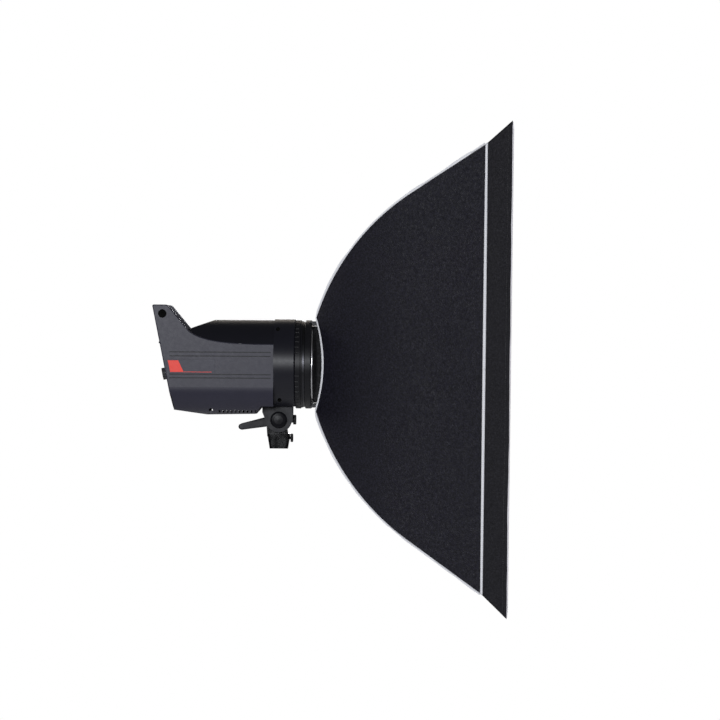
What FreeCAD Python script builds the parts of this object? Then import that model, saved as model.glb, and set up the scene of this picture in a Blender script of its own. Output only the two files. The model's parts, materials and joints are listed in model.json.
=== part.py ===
"""Strip softbox on its flash head, as a parametric document.

Millimetres. +X is the way the light points, +Z is up, and the origin is the centre of the stand
socket's mouth. Right is -Y and left is +Y, as seen by someone standing behind the head.
"""

import math
import os
from types import SimpleNamespace

import FreeCAD
import Part
import Sketcher

Vector = FreeCAD.Vector
Rotation = FreeCAD.Rotation
Placement = FreeCAD.Placement

SIZES = [
    ("axis_height", 169.0, "optical axis above the mouth of the stand socket"),
    ("pivot_height", 57.5, "tilt pivot above the mouth of the stand socket"),
    ("socket_bore", 8.1, "radius of the bore for a 16 mm stand spigot"),
    ("socket_depth", 36.0, "depth of that bore"),
    ("socket_foot", 18.0, "half width of the socket casting at its mouth"),
    ("socket_shoulder", 23.0, "half width of the socket casting at its shoulder"),
    ("shoulder_height", 30.0, "height of that shoulder"),
    ("tongue_radius", 20.0, "round top of the socket casting, on the tilt pivot"),
    ("tongue_half", 11.0, "half thickness of that tongue"),
    ("neck_back", -24.5, "widest point of the neck under the tongue, at the back"),
    ("neck_front", 17.2, "narrowest point of the neck, cut back so that the tilting web clears it"),
    ("bolt_radius", 5.0, "radius of the tilt pivot bolt"),
    ("running_gap", 0.05, "radial clearance of a pin that turns in a bore"),
    ("ear_radius", 25.0, "round lower end of the tilt bracket's ears"),
    ("ear_inside", 12.2, "from the middle to an ear's inner face"),
    ("ear_outside", 20.0, "from the middle to an ear's outer face"),
    ("bracket_back", -33.0, "back edge of the tilt bracket"),
    ("bracket_front", 28.0, "front edge of the tilt bracket"),
    ("bracket_top", 84.5, "top of the tilt bracket, under the head"),
    ("bracket_plate", 6.0, "thickness of the tilt bracket's top plate"),
    ("cap_radius", 16.7, "round cover over the pivot bolt's head"),
    ("clamp_height", 21.5, "height of the spigot clamp screw"),
    ("screw_shaft", 3.0, "radius of the clamp and drag screws"),
    ("clamp_knob", 8.5, "radius of the spigot clamp knob"),
    ("drag_knob", 9.8, "radius of the tilt drag knob"),
    ("drag_height", 58.0, "height of the tilt drag knob"),
    ("shell_half", 84.0, "half width of the head's side shells"),
    ("shell_wall", 3.0, "wall thickness of the head's shells"),
    ("shell_top", 209.0, "top edge of the side shells at the front"),
    ("shell_corner", 55.0, "radius of the shells' lower corners"),
    ("belly", 67.4, "lowest point of the head's shells"),
    ("tray_half", 50.0, "half width of the bottom tray between the side shells"),
    ("grip_inside", 72.0, "inner face of the handle ears"),
    ("ear_top", 286.4, "top of the handle ears"),
    ("bar_x", -231.0, "handle bar, along the optical axis"),
    ("bar_height", 268.5, "handle bar above the socket mouth"),
    ("bar_radius", 11.0, "radius of the handle bar"),
    ("cover_radius", 88.0, "outer radius of the arched top cover"),
    ("collar_back", -9.0, "back edge of the front collar"),
    ("collar_front", 33.0, "front face of the collar"),
    ("collar_radius", 90.0, "outer radius of the collar"),
    ("lock_back", 33.4, "back face of the bayonet lock ring"),
    ("lock_front", 48.0, "front face of the bayonet lock ring"),
    ("ring_radius", 88.5, "outer radius of the lock ring and the rotating ring"),
    ("lock_inside", 70.3, "inner radius of the lock ring"),
    ("adapter_inside", 60.0, "inner radius of the bayonet adapter"),
    ("adapter_outside", 70.0, "outer radius of the adapter's sleeve"),
    ("turn_back", 52.6, "back face of the rotating ring"),
    ("turn_front", 65.6, "front face of the rotating ring"),
    ("retainer_front", 68.0, "front face of the retaining ring"),
    ("retainer_radius", 78.0, "outer radius of the retaining ring"),
    ("cover_base", 73.5, "where the cover's corner seams start, along the axis"),
    ("base_half", 90.0, "half height of the cover there"),
    ("bend_start", 72.4, "angle of the corner seam to the axis where it starts"),
    ("bend_end", 34.2, "angle of the corner seam to the axis after its bend"),
    ("bend_radius", 485.0, "radius of that bend"),
    ("seam_reach", 338.0, "front seam, past the start of the corner seams"),
    ("lip_reach", 388.0, "front edge of the lip, past the same point"),
    ("lip_rise", 46.0, "how far the lip flares in height"),
    ("width_ratio", 0.392, "width of the box over its height"),
    ("cloth", 1.5, "thickness of the cover's cloth"),
    ("cloth_gap", 0.3, "gap left between soft pieces"),
    ("tape_half", 3.2, "half width of the binding tape"),
    ("back_scoop", 13.0, "how deep the back edge of a side panel is cut"),
    ("rod_radius", 3.0, "radius of a rod"),
    ("rod_inset", 9.5, "rod centre inside the cover's surface"),
    ("rod_side_inset", 12.0, "extra inset of a rod towards the middle"),
    ("holder_radius", 5.0, "outer radius of a rod holder"),
    ("holder_reach", 40.0, "length of a rod holder past its pin"),
    ("holder_pin", 2.0, "radius of a rod holder's hinge pin"),
    ("knuckle_half", 3.7, "half width of a rod holder's knuckle"),
    ("plate_thick", 2.0, "thickness of a hinge plate"),
    ("plate_half", 4.4, "half height of a hinge plate"),
    ("hinge_x", 79.3, "hinge pins of the rod holders, along the optical axis"),
    ("hinge_y", 22.0, "middle of a rod holder at its hinge, to the side of the axis"),
    ("hinge_z", 81.9, "hinge pins above or below the optical axis"),
    ("skirt_half", 75.0, "half height of the dark skirt in the cover's mouth"),
    ("skirt_width", 44.0, "half width of the skirt at its middle"),
    ("skirt_side", 404.0, "radius of the skirt's two curved sides"),
    ("skirt_front", 86.0, "front edge of the skirt"),
    ("baffle_reach", 170.0, "inner diffuser, past the start of the corner seams"),
    ("baffle_half", 285.0, "half height of the inner diffuser"),
    ("diffuser_reach", 352.0, "front diffuser, past the start of the corner seams"),
    ("hem_proud", 3.0, "how far the diffuser's hem stands in front of the lip"),
    ("panel_lean", 11.5, "lean of the rear panel from the vertical, in degrees"),
    ("dome_radius", 40.0, "radius of the glass dome"),
]

doc = FreeCAD.newDocument("strip_softbox")
sheet = doc.addObject("Spreadsheet::Sheet", "Sizes")
for row, (alias, number, note) in enumerate(SIZES, start=1):
    sheet.set(f"A{row}", alias)
    sheet.set(f"B{row}", str(number))
    sheet.setAlias(f"B{row}", alias)
    sheet.set(f"C{row}", note)
doc.recompute()

subparts = []


class Size:
    """A number with the expression it comes from, so that a sum of sizes stays bound to the sheet."""

    def __init__(self, number, text=""):
        self.number = float(number)
        self.text = text or f"({self.number:.6f})"

    def __add__(self, other):
        other = as_size(other)
        return Size(self.number + other.number, f"({self.text} + {other.text})")

    def __sub__(self, other):
        other = as_size(other)
        return Size(self.number - other.number, f"({self.text} - {other.text})")

    def __mul__(self, other):
        other = as_size(other)
        return Size(self.number * other.number, f"({self.text} * {other.text})")

    def __radd__(self, other):
        return as_size(other) + self

    def __rsub__(self, other):
        return as_size(other) - self

    def __rmul__(self, other):
        return as_size(other) * self

    def __neg__(self):
        return Size(-self.number, f"(-{self.text})")


def as_size(thing):
    return thing if isinstance(thing, Size) else Size(thing)


def value(alias):
    """The plain number in a cell, for shapes that are worked out in code."""
    return float(sheet.get(alias))


s = SimpleNamespace(**{alias: Size(value(alias), "Sizes." + alias) for alias, _, _ in SIZES})


def bind(thing, **sizes):
    """Binds properties to sizes of the sheet. A double underscore stands for a dot."""
    for name, size in sizes.items():
        thing.setExpression(name.replace("__", "."), as_size(size).text)
    return thing


def keep(thing):
    """Marks an object as a sub-part, whose Label names its file."""
    subparts.append(thing)
    return thing


# Building blocks.


def outline_sketch(body, role, outline):
    """A closed outline of straight lines, each corner held at a pair of sizes."""
    plane = next(f for f in body.Origin.OriginFeatures if f.Role == role)
    sketch = body.newObject("Sketcher::SketchObject", body.Name + "_outline")
    sketch.AttachmentSupport = [(plane, "")]
    sketch.MapMode = "FlatFace"
    corners = [Vector(as_size(a).number, as_size(b).number, 0) for a, b in outline]
    count = len(corners)
    for i in range(count):
        sketch.addGeometry(Part.LineSegment(corners[i], corners[(i + 1) % count]), False)
    for i in range(count):
        sketch.addConstraint(Sketcher.Constraint("Coincident", i, 2, (i + 1) % count, 1))
    for i, (across, up) in enumerate(outline):
        for kind, size in (("DistanceX", as_size(across)), ("DistanceY", as_size(up))):
            index = sketch.addConstraint(Sketcher.Constraint(kind, -1, 1, i, 1, size.number))
            sketch.setExpression(f"Constraints[{index}]", size.text)
    return sketch


def turned(label, outline, angle=360):
    """A solid turned about its own X axis from an outline of (along the axis, radius)."""
    body = doc.addObject("PartDesign::Body", label)
    sketch = outline_sketch(body, "XZ_Plane", outline)
    turn = body.newObject("PartDesign::Revolution", label + "_turn")
    turn.Profile = sketch
    turn.ReferenceAxis = (sketch, ["H_Axis"])
    turn.Angle = angle
    return body


def on_axis(body, x=0):
    """Moves a body from its own origin to the optical axis."""
    return bind(body, Placement__Base__x=x, Placement__Base__z=s.axis_height)


def prism(label, outline, y_low, y_high):
    """An outline in the XZ plane, padded from y_low to y_high."""
    body = doc.addObject("PartDesign::Body", label)
    pad = body.newObject("PartDesign::Pad", label + "_pad")
    pad.Profile = outline_sketch(body, "XZ_Plane", outline)
    bind(pad, Length=as_size(y_high) - y_low)
    return bind(body, Placement__Base__y=y_high)


def round_edges(body, radius, chosen):
    """Rounds the edges of a body's last feature for which chosen(edge) holds."""
    doc.recompute()
    tip = body.Tip
    names = [f"Edge{i}" for i, edge in enumerate(tip.Shape.Edges, start=1) if chosen(edge)]
    fillet = body.newObject("PartDesign::Fillet", body.Name + "_round")
    fillet.Base = (tip, names)
    bind(fillet, Radius=radius)
    return body


def block(label, x, y, z):
    """A Part::Box from three (low, high) pairs of sizes."""
    box = doc.addObject("Part::Box", label)
    for side, (low, high) in zip(("Length", "Width", "Height"), (x, y, z)):
        bind(box, **{side: as_size(high) - low})
    return bind(box, Placement__Base__x=x[0], Placement__Base__y=y[0], Placement__Base__z=z[0])


def rod(label, radius, length, at, towards=(0, 0, 1)):
    """A Part::Cylinder that starts at a point of sizes and runs towards a direction."""
    cylinder = doc.addObject("Part::Cylinder", label)
    bind(cylinder, Radius=radius, Height=length)
    cylinder.Placement.Rotation = Rotation(Vector(0, 0, 1), Vector(*towards))
    x, y, z = at
    return bind(cylinder, Placement__Base__x=x, Placement__Base__y=y, Placement__Base__z=z)


def fuse(label, *parts):
    joined = doc.addObject("Part::MultiFuse", label)
    joined.Shapes = list(parts)
    joined.Refine = True
    return joined


def compound(label, *parts):
    """Separate pieces that share one name."""
    group = doc.addObject("Part::Compound", label)
    group.Links = list(parts)
    return group


def cut(label, base, *tools):
    result = doc.addObject("Part::Cut", label)
    result.Base = base
    result.Tool = tools[0] if len(tools) == 1 else fuse(label + "_tools", *tools)
    return result


def common(label, one, other):
    shared = doc.addObject("Part::Common", label)
    shared.Base = one
    shared.Tool = other
    return shared


def mirrored(label, source, normal):
    """A mirror image across the middle plane, upright, or across the optical axis, level."""
    image = doc.addObject("Part::Mirroring", label)
    image.Source = source
    image.Normal = Vector(*normal)
    image.Base = Vector(0, 0, value("axis_height"))
    return image


def feature(label, shape):
    """A Part::Feature for a shape that the workbenches' own features don't make."""
    made = doc.addObject("Part::Feature", label)
    made.Shape = shape
    return made


LEFT = (0, 1, 0)
FORWARD = (1, 0, 0)


# The stand socket and the tilt bracket.


def stand_socket():
    """The casting that drops over a stand's spigot, with the tongue that the head tilts on."""
    casting = prism(
        "socket_casting",
        [
            (-s.socket_foot, 0),
            (s.socket_foot, 0),
            (s.socket_shoulder, s.shoulder_height),
            (-s.socket_shoulder, s.shoulder_height),
        ],
        -17,
        17,
    )
    round_edges(casting, 5, lambda e: abs(e.tangentAt(e.FirstParameter).z) > 0.9)
    neck = prism(
        "socket_neck",
        [
            (-s.socket_shoulder, s.shoulder_height - 6),
            (s.neck_front + 0.8, s.shoulder_height - 6),
            (s.neck_front + 0.8, s.shoulder_height + 2),
            (s.neck_front, s.pivot_height - 20.5),
            (s.neck_front - 0.4, s.pivot_height - 18),
            (s.neck_front + 2.2, s.pivot_height - 13.5),
            (s.tongue_radius, s.pivot_height),
            (-s.tongue_radius, s.pivot_height),
            (s.neck_back + 0.7, s.pivot_height - 7),
            (s.neck_back, s.pivot_height - 13),
        ],
        -s.tongue_half,
        s.tongue_half,
    )
    top = rod(
        "socket_tongue", s.tongue_radius, 2 * s.tongue_half, (0, -s.tongue_half, s.pivot_height), LEFT
    )
    spigot = rod("spigot_bore", s.socket_bore, s.socket_depth + 1, (0, 0, -1))
    pivot = rod("pivot_bore", s.bolt_radius + s.running_gap, 40, (0, -20, s.pivot_height), LEFT)
    thread = rod("clamp_bore", s.screw_shaft + s.running_gap, 30, (0, 0, s.clamp_height), FORWARD)
    keep(cut("stand_socket", fuse("socket_body", casting, neck, top), spigot, pivot, thread))


def knob(label, radius, shaft_start, face, depth, height):
    """A small thumb screw that points back along the axis, with a ribbed edge."""
    body = turned(
        label + "_turned",
        [
            (shaft_start, 0),
            (shaft_start, s.screw_shaft),
            (face, s.screw_shaft),
            (face, radius - 1),
            (face + 1, radius),
            (face + depth - 1.2, radius),
            (face + depth, radius - 1.2),
            (face + depth, 0),
        ],
    )
    bind(body, Placement__Base__z=height)
    ribs = 12
    grooves = []
    for i in range(ribs):
        turn = 2 * math.pi * i / ribs
        across, up = math.cos(turn), math.sin(turn)
        at = (face - 1, (radius + 0.5) * across, height + (radius + 0.5) * up)
        grooves.append(rod(f"{label}_groove_{i + 1}", 1.1, depth + 2, at, FORWARD))
    keep(cut(label, body, *grooves))


def tilt_bracket():
    """The fork under the head: two ears, a top plate and a front web."""
    ear_outline = [
        (s.bracket_back, s.bracket_top),
        (s.bracket_back, s.bracket_top - 12),
        (-s.ear_radius, s.pivot_height - 4),
        (s.ear_radius, s.pivot_height - 4),
        (s.bracket_front, s.pivot_height),
        (s.bracket_front, s.bracket_top),
    ]
    pieces = []
    for side, low, high in (
        ("right", -s.ear_outside, -s.ear_inside),
        ("left", s.ear_inside, s.ear_outside),
    ):
        pieces.append(prism(f"ear_{side}", ear_outline, low, high))
        start = (0, low, s.pivot_height)
        pieces.append(rod(f"ear_round_{side}", s.ear_radius, s.ear_outside - s.ear_inside, start, LEFT))
    pieces.append(
        block(
            "bracket_plate_block",
            (s.bracket_back, s.bracket_front),
            (-s.ear_outside, s.ear_outside),
            (s.bracket_top - s.bracket_plate, s.bracket_top),
        )
    )
    pieces.append(
        block(
            "bracket_web",
            (s.bracket_front - 3.5, s.bracket_front),
            (-s.ear_outside, s.ear_outside),
            (s.pivot_height - 5.5, s.bracket_top),
        )
    )
    pivot = rod("ear_bore", s.bolt_radius, 60, (0, -30, s.pivot_height), LEFT)
    drag_start = (s.bracket_front - 6, 0, s.drag_height)
    thread = rod("drag_bore", s.screw_shaft + s.running_gap, 12, drag_start, FORWARD)
    keep(cut("tilt_bracket", fuse("bracket_body", *pieces), pivot, thread))
    keep(
        fuse(
            "friction_washers",
            *[
                cut(
                    f"washer_{side}",
                    rod(f"washer_disc_{side}", 16, 0.9, (0, low, s.pivot_height), LEFT),
                    rod(f"washer_hole_{side}", s.bolt_radius, 3, (0, low - 1, s.pivot_height), LEFT),
                )
                for side, low in (("right", -s.ear_inside), ("left", s.ear_inside - 0.9))
            ],
        )
    )
    shaft = rod("bolt_shaft", s.bolt_radius, 60, (0, -24, s.pivot_height), LEFT)
    head = rod("bolt_head", 8, 4, (0, -24, s.pivot_height), LEFT)
    keep(fuse("pivot_bolt", shaft, head))


def pivot_cap():
    """The domed round cover on the right ear, hollow over the bolt's head."""
    body = turned(
        "pivot_cap",
        [
            (0, 10),
            (0, s.cap_radius),
            (3, s.cap_radius),
            (5.2, s.cap_radius - 1),
            (6.6, s.cap_radius - 3.6),
            (7.4, s.cap_radius - 8),
            (7.8, 0),
            (5.5, 0),
            (5.5, 10),
        ],
    )
    body.Placement.Rotation = Rotation(Vector(1, 0, 0), Vector(0, -1, 0))
    keep(bind(body, Placement__Base__y=-s.ear_outside, Placement__Base__z=s.pivot_height))


def tilt_lever():
    """The clamp lever on the left end of the pivot bolt."""
    arm = prism(
        "lever_arm",
        [
            (-4, s.pivot_height + 10.5),
            (-30, s.pivot_height + 4.6),
            (-76, s.pivot_height - 7.6),
            (-81.5, s.pivot_height - 10.4),
            (-83, s.pivot_height - 14.4),
            (-81.5, s.pivot_height - 18.4),
            (-76.5, s.pivot_height - 21),
            (-30, s.pivot_height - 14.8),
            (-4, s.pivot_height - 10.5),
        ],
        s.ear_outside + 3,
        s.ear_outside + 14,
    )
    round_edges(arm, 2.5, lambda e: abs(e.tangentAt(e.FirstParameter).y) < 0.1)
    hub = rod("lever_hub", 13.5, 16, (0, s.ear_outside + 0.3, s.pivot_height), LEFT)
    rib = prism(
        "lever_rib",
        [
            (-32, s.pivot_height + 0.4),
            (-54, s.pivot_height - 5.6),
            (-54, s.pivot_height - 14.4),
            (-32, s.pivot_height - 11),
        ],
        s.ear_outside + 2.2,
        s.ear_outside + 5,
    )
    start = (0, s.ear_outside - 1, s.pivot_height)
    bore = rod("lever_bore", s.bolt_radius + s.running_gap, 20, start, LEFT)
    keep(cut("tilt_lever", fuse("lever_body", arm, hub, rib), bore))


# The flash head's housing.


def shell_side_face(inset, front):
    """The side outline of the shells, shrunk by inset below and behind, as a face at Y = 0."""
    top = value("shell_top") - inset
    ear = value("ear_top") - inset
    corner = 4.0
    points = {
        "belly_back": Vector(-209 + inset, 0, 77 + inset),
        "belly_mid": Vector(-142, 0, value("belly") + inset),
        "belly_front": Vector(-46, 0, value("belly") + 2 + inset),
        "step": Vector(-34, 0, value("bracket_top") + inset),
        "front_low": Vector(front, 0, value("bracket_top") + inset),
        "front_high": Vector(front, 0, top),
        "saddle": Vector(-178, 0, 235 - inset),
        "ear_front": Vector(-221, 0, ear),
        "ear_back": Vector(-251.7 + inset, 0, ear),
    }
    along_ear = (points["saddle"] - points["ear_front"]).normalize() * corner
    down_back = (points["belly_back"] - points["ear_back"]).normalize() * corner
    ear_front_low = points["ear_front"] + along_ear
    ear_front_high = points["ear_front"] - Vector(corner, 0, 0)
    ear_back_high = points["ear_back"] + Vector(corner, 0, 0)
    ear_back_low = points["ear_back"] + down_back

    def rounded(start, tip, end):
        curve = Part.BezierCurve()
        curve.setPoles([start, tip, end])
        return curve.toShape()

    sweep = Part.BezierCurve()
    sweep.setPoles(
        [points["front_high"], Vector(-90, 0, top), Vector(-150, 0, top + 3), points["saddle"]]
    )
    low = [points[n] for n in ("belly_back", "belly_mid", "belly_front", "step", "front_low", "front_high")]
    edges = [Part.makeLine(a, b) for a, b in zip(low, low[1:])]
    edges += [
        sweep.toShape(),
        Part.makeLine(points["saddle"], ear_front_low),
        rounded(ear_front_low, points["ear_front"], ear_front_high),
        Part.makeLine(ear_front_high, ear_back_high),
        rounded(ear_back_high, points["ear_back"], ear_back_low),
        Part.makeLine(ear_back_low, points["belly_back"]),
    ]
    return Part.Face(Part.Wire(edges))


def shell_prism(inset, front):
    """The side outline pulled out to the shells' full width, with round lower corners."""
    half = value("shell_half") - inset
    face = shell_side_face(inset, front)
    face.translate(Vector(0, -half, 0))
    solid = face.extrude(Vector(0, 2 * half, 0))
    corner = value("shell_corner") - inset
    bottom = value("belly") + inset
    section = Part.makeBox(400, 2 * half, 300, Vector(-330, -half, bottom))
    low_edges = [
        e
        for e in section.Edges
        if abs(e.tangentAt(0).x) > 0.9 and abs(e.CenterOfMass.z - bottom) < 0.1
    ]
    return solid.common(section.makeFillet(corner, low_edges))


def saddle_cut():
    """The space between the handle ears and over the shells' top rims."""
    half = value("grip_inside")
    return Part.makeBox(420, 2 * half, 200, Vector(-360, -half, value("shell_top") - 3.2))


def open_cavity():
    """The inside of the shells, open towards the front."""
    wall = value("shell_wall")
    cavity = shell_prism(wall, 30)
    rim = Part.makeBox(420, 400, 200, Vector(-360, -200, value("shell_top") - 3.2))
    return cavity.cut(rim)


def side_features(housing):
    """Cuts the grooves, the label recess, the vents and the screw holes in both side walls."""
    half = value("shell_half")
    tools = []
    for height, depth in ((191, 1.5), (183, 1.5), (146.5, 1.5), (139.5, 1.5)):
        tools.append((Vector(-216, 0, height), Vector(202, depth, 2.2)))
    tools.append((Vector(-222, 0, 149.5), Vector(97, 0.8, 28)))
    for i in range(10):
        tools.append((Vector(-118.5 + 8 * i, 0, 71.4), Vector(3.4, 44, 5)))
    for corner, size in tools:
        for side in (-1, 1):
            y = -half - 1 if side < 0 else half + 1 - (size.y + 1)
            housing = housing.cut(Part.makeBox(size.x, size.y + 1, size.z, Vector(corner.x, y, corner.z)))
    for x, z, radius, depth in ((-134, 76, 4.2, 34), (value("bar_x"), value("bar_height"), 8.5, 10.5)):
        for side in (-1, 1):
            start = Vector(x, side * (half + 1), z)
            housing = housing.cut(Part.makeCylinder(radius, depth + 1, start, Vector(0, -side, 0)))
    return housing


def head_shells():
    """Two side shells with the handle ears, and the bottom tray between them."""
    front = value("collar_back")
    housing = shell_prism(0, front).cut(open_cavity()).cut(saddle_cut())
    half = value("shell_half")
    rims = [
        e
        for e in housing.Edges
        if abs(abs(e.CenterOfMass.y) - half) < 0.01
        and e.CenterOfMass.z > 100
        and e.CenterOfMass.x < front - 1
    ]
    housing = housing.makeFillet(2.2, rims)
    housing = side_features(housing)
    housing = housing.cut(rear_slab(-40, 3.4))
    tray = value("tray_half")
    middle = Part.makeBox(420, 2 * tray, 130, Vector(-330, -tray, 0))
    keep(feature("bottom_tray", housing.common(middle)))
    right = Part.makeBox(420, 200, 400, Vector(-330, -tray - 200, 0))
    right_shell = feature("side_shell_right", housing.common(right))
    keep(right_shell)
    keep(mirrored("side_shell_left", right_shell, (0, 1, 0)))


def rear_slab(outer, inner):
    """A slab along the leaning back of the head, between two depths inside its back edge."""
    low = Vector(-209, 0, 77)
    high = Vector(-251.7, 0, value("ear_top"))
    up = (high - low).normalize()
    inwards = Vector(up.z, 0, -up.x)
    half = value("shell_half") - value("shell_wall")
    corners = [
        low + inwards * outer,
        low + inwards * inner,
        low + inwards * inner + up * (value("shell_top") - 3.2 - 77) * 1.02,
        low + inwards * outer + up * (value("shell_top") - 3.2 - 77) * 1.02,
    ]
    face = Part.Face(Part.makePolygon([c - Vector(0, half, 0) for c in corners + corners[:1]]))
    return face.extrude(Vector(0, 2 * half, 0))


def top_cover():
    """The arched cover between the side shells, falling away under the handle."""
    outer, wall = value("cover_radius"), value("shell_wall")
    front = value("collar_back")
    back = -238.0
    axis = value("axis_height")
    start = Vector(back, 0, axis)
    arch = Part.makeCylinder(outer, front - back, start, Vector(1, 0, 0))
    inner = Part.makeCylinder(outer - wall, front - back + 2, start - Vector(1, 0, 0), Vector(1, 0, 0))
    fall = [
        Vector(-128, 0, 257.2),
        Vector(-171, 0, 241.5),
        Vector(-239, 0, 212.0),
        Vector(-239, 0, 300),
        Vector(-128, 0, 300),
    ]

    def falling(drop, arch_solid):
        low = [p - Vector(0, 0, drop if p.z < 290 else 0) for p in fall]
        face = Part.Face(Part.makePolygon([p - Vector(0, 120, 0) for p in low + low[:1]]))
        return arch_solid.cut(face.extrude(Vector(0, 240, 0)))

    solid = falling(0, arch).cut(falling(wall, inner))
    rim = value("shell_top") + 0.1
    solid = solid.common(Part.makeBox(400, 300, 100, Vector(-300, -150, rim)))
    shell = shell_prism(0, front + 5)
    half = value("grip_inside") - 0.2
    solid = solid.cut(shell.cut(Part.makeBox(420, 2 * half, 400, Vector(-360, -half, 0))))
    keep(feature("top_cover", solid))


def rear_panel():
    """The control panel that closes the back, with clearance round what moves in it."""
    plate = rear_slab(0.4, 3.2).common(open_cavity_back())
    for _, across, up, width, height in BUTTONS:
        plate = plate.cut(panel_box(across, up, width + 0.5, height + 0.5, -6, 6))
    plate = plate.cut(panel_box(*SWITCH, -6, 6)).fuse(switch_bezel())
    plate = plate.cut(panel_box(*INLET, -6, 6))
    plate = plate.cut(panel_box(*WINDOW, -1.2, 6))
    for across, up, radius in (DIAL, SYNC):
        plate = plate.cut(panel_cylinder(across, up, radius, -6, 12))
    keep(feature("rear_panel", plate))


def open_cavity_back():
    """The cavity's section, run on past the back of the head."""
    wall = value("shell_wall")
    half = value("shell_half") - wall
    bottom = value("belly") + wall + 6
    top = value("shell_top") - 3.3
    section = Part.makeBox(80, 2 * half, top - bottom, Vector(-270, -half, bottom))
    low_edges = [
        e
        for e in section.Edges
        if abs(e.tangentAt(0).x) > 0.9 and abs(e.CenterOfMass.z - bottom) < 0.1
    ]
    return section.makeFillet(value("shell_corner") - wall, low_edges)


# Places on the rear panel: across (towards +Y) and up from the middle of the panel.
PANEL_MIDDLE_HEIGHT = 146.0
BUTTONS = [
    ("button_mode", -30, 4, 15, 8),
    ("button_test", 30, 4, 15, 8),
]
SWITCH = (-44, -34, 16.6, 22.6)
INLET = (0, -36, 28, 21)
WINDOW = (0, 32, 58, 27)
DIAL = (0, 4, 4.1)
SYNC = (44, -34, 4)


def panel_placement(across, up, out):
    """A frame on the rear panel whose Z points out of it, Y points up it and X goes to -Y."""
    lean = math.radians(value("panel_lean"))
    upwards = Vector(-math.sin(lean), 0, math.cos(lean))
    outwards = Vector(-math.cos(lean), 0, -math.sin(lean))
    rise = (PANEL_MIDDLE_HEIGHT - 77) / math.cos(lean)
    middle = Vector(-209, 0, 77) + upwards * rise
    at = middle + Vector(0, across, 0) + upwards * up + outwards * out
    return Placement(at, Rotation(Vector(0, -1, 0), upwards, outwards, "ZXY"))


def placed(shape, placement):
    shape.Placement = placement
    return shape


def panel_box(across, up, width, height, low, high):
    """A box on the panel, from low to high above its outer face, as a plain shape."""
    box = Part.makeBox(width, height, high - low, Vector(-width / 2, -height / 2, low))
    return placed(box, panel_placement(across, up, 0))


def panel_cylinder(across, up, radius, low, high):
    cylinder = Part.makeCylinder(radius, high - low, Vector(0, 0, low))
    return placed(cylinder, panel_placement(across, up, 0))


def switch_bezel():
    """The raised frame round the power switch."""
    across, up, width, height = SWITCH
    hole = panel_box(across, up, width - 2.4, height - 2, -7, 2)
    return panel_box(across, up, width + 4, height + 4, -3, 0.9).cut(hole)


def rear_controls():
    """What is fitted to the rear panel: display, dial, buttons, switch and sockets."""
    for label, across, up, width, height in BUTTONS:
        cap = panel_box(across, up, width, height, -4.5, 2)
        outer = [e for e in cap.Faces[5].Edges]
        keep(feature(label, cap.makeFillet(0.8, outer)))
    keep(feature("display_window", panel_box(*WINDOW, -1.2, 0.2)))
    across, up, radius = DIAL
    dial = panel_cylinder(across, up, 12, 0, 11).fuse(panel_cylinder(across, up, radius - 0.06, -5, 1))
    for i in range(18):
        turn = 2 * math.pi * i / 18
        rib = (across + 12.4 * math.cos(turn), up + 12.4 * math.sin(turn), 0.9)
        dial = dial.cut(panel_cylinder(*rib, 2, 12))
    keep(feature("jog_dial", dial.cut(panel_cylinder(across, up, 8, 10, 12))))
    across, up, width, height = SWITCH
    keep(feature("power_switch", panel_box(across, up, width - 3.4, height - 4.4, -5, 1.6)))
    across, up, width, height = INLET
    inlet = panel_box(across, up, width, height, -22, -0.2).cut(
        panel_box(across, up, width - 4, height - 5, -17, 1)
    )
    for side in (-7, 0, 7):
        rise = 2 if side == 0 else -1.5
        inlet = inlet.fuse(panel_box(across + side, up + rise, 2, 4, -17.5, -3))
    keep(feature("mains_inlet", inlet))
    across, up, radius = SYNC
    jack = panel_cylinder(across, up, radius, -12, 0).fuse(panel_cylinder(across, up, 6, 0, 1.4))
    keep(feature("sync_socket", jack.cut(panel_cylinder(across, up, 1.8, -10, 3))))


def handle_bar():
    """The grip between the ears. Returns the two bolts that hold it, as plain shapes."""
    half = s.grip_inside
    start = (s.bar_x, -half, s.bar_height)
    grip = rod("grip_bar", s.bar_radius, 2 * half, start, LEFT)
    hole = rod("grip_hole", 3, 2 * half + 2, (s.bar_x, -half - 1, s.bar_height), LEFT)
    keep(cut("handle_bar", grip, hole))
    bolts = []
    for side in (-1, 1):
        seat = value("shell_half") - 10.5
        at = Vector(value("bar_x"), side * seat, value("bar_height"))
        head = Part.makeCylinder(8.4, 3, at, Vector(0, side, 0))
        hexagon = Part.makeCylinder(2.6, 5, at + Vector(0, side * 1.2, 0), Vector(0, side, 0))
        bolts.append(head.cut(hexagon))
    return bolts


# The ring flash tube: its radius, and where its two legs pass through the reflector plate.
TUBE_RING = 31
TUBE_LEGS = (("right", -6), ("left", 6))


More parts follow.
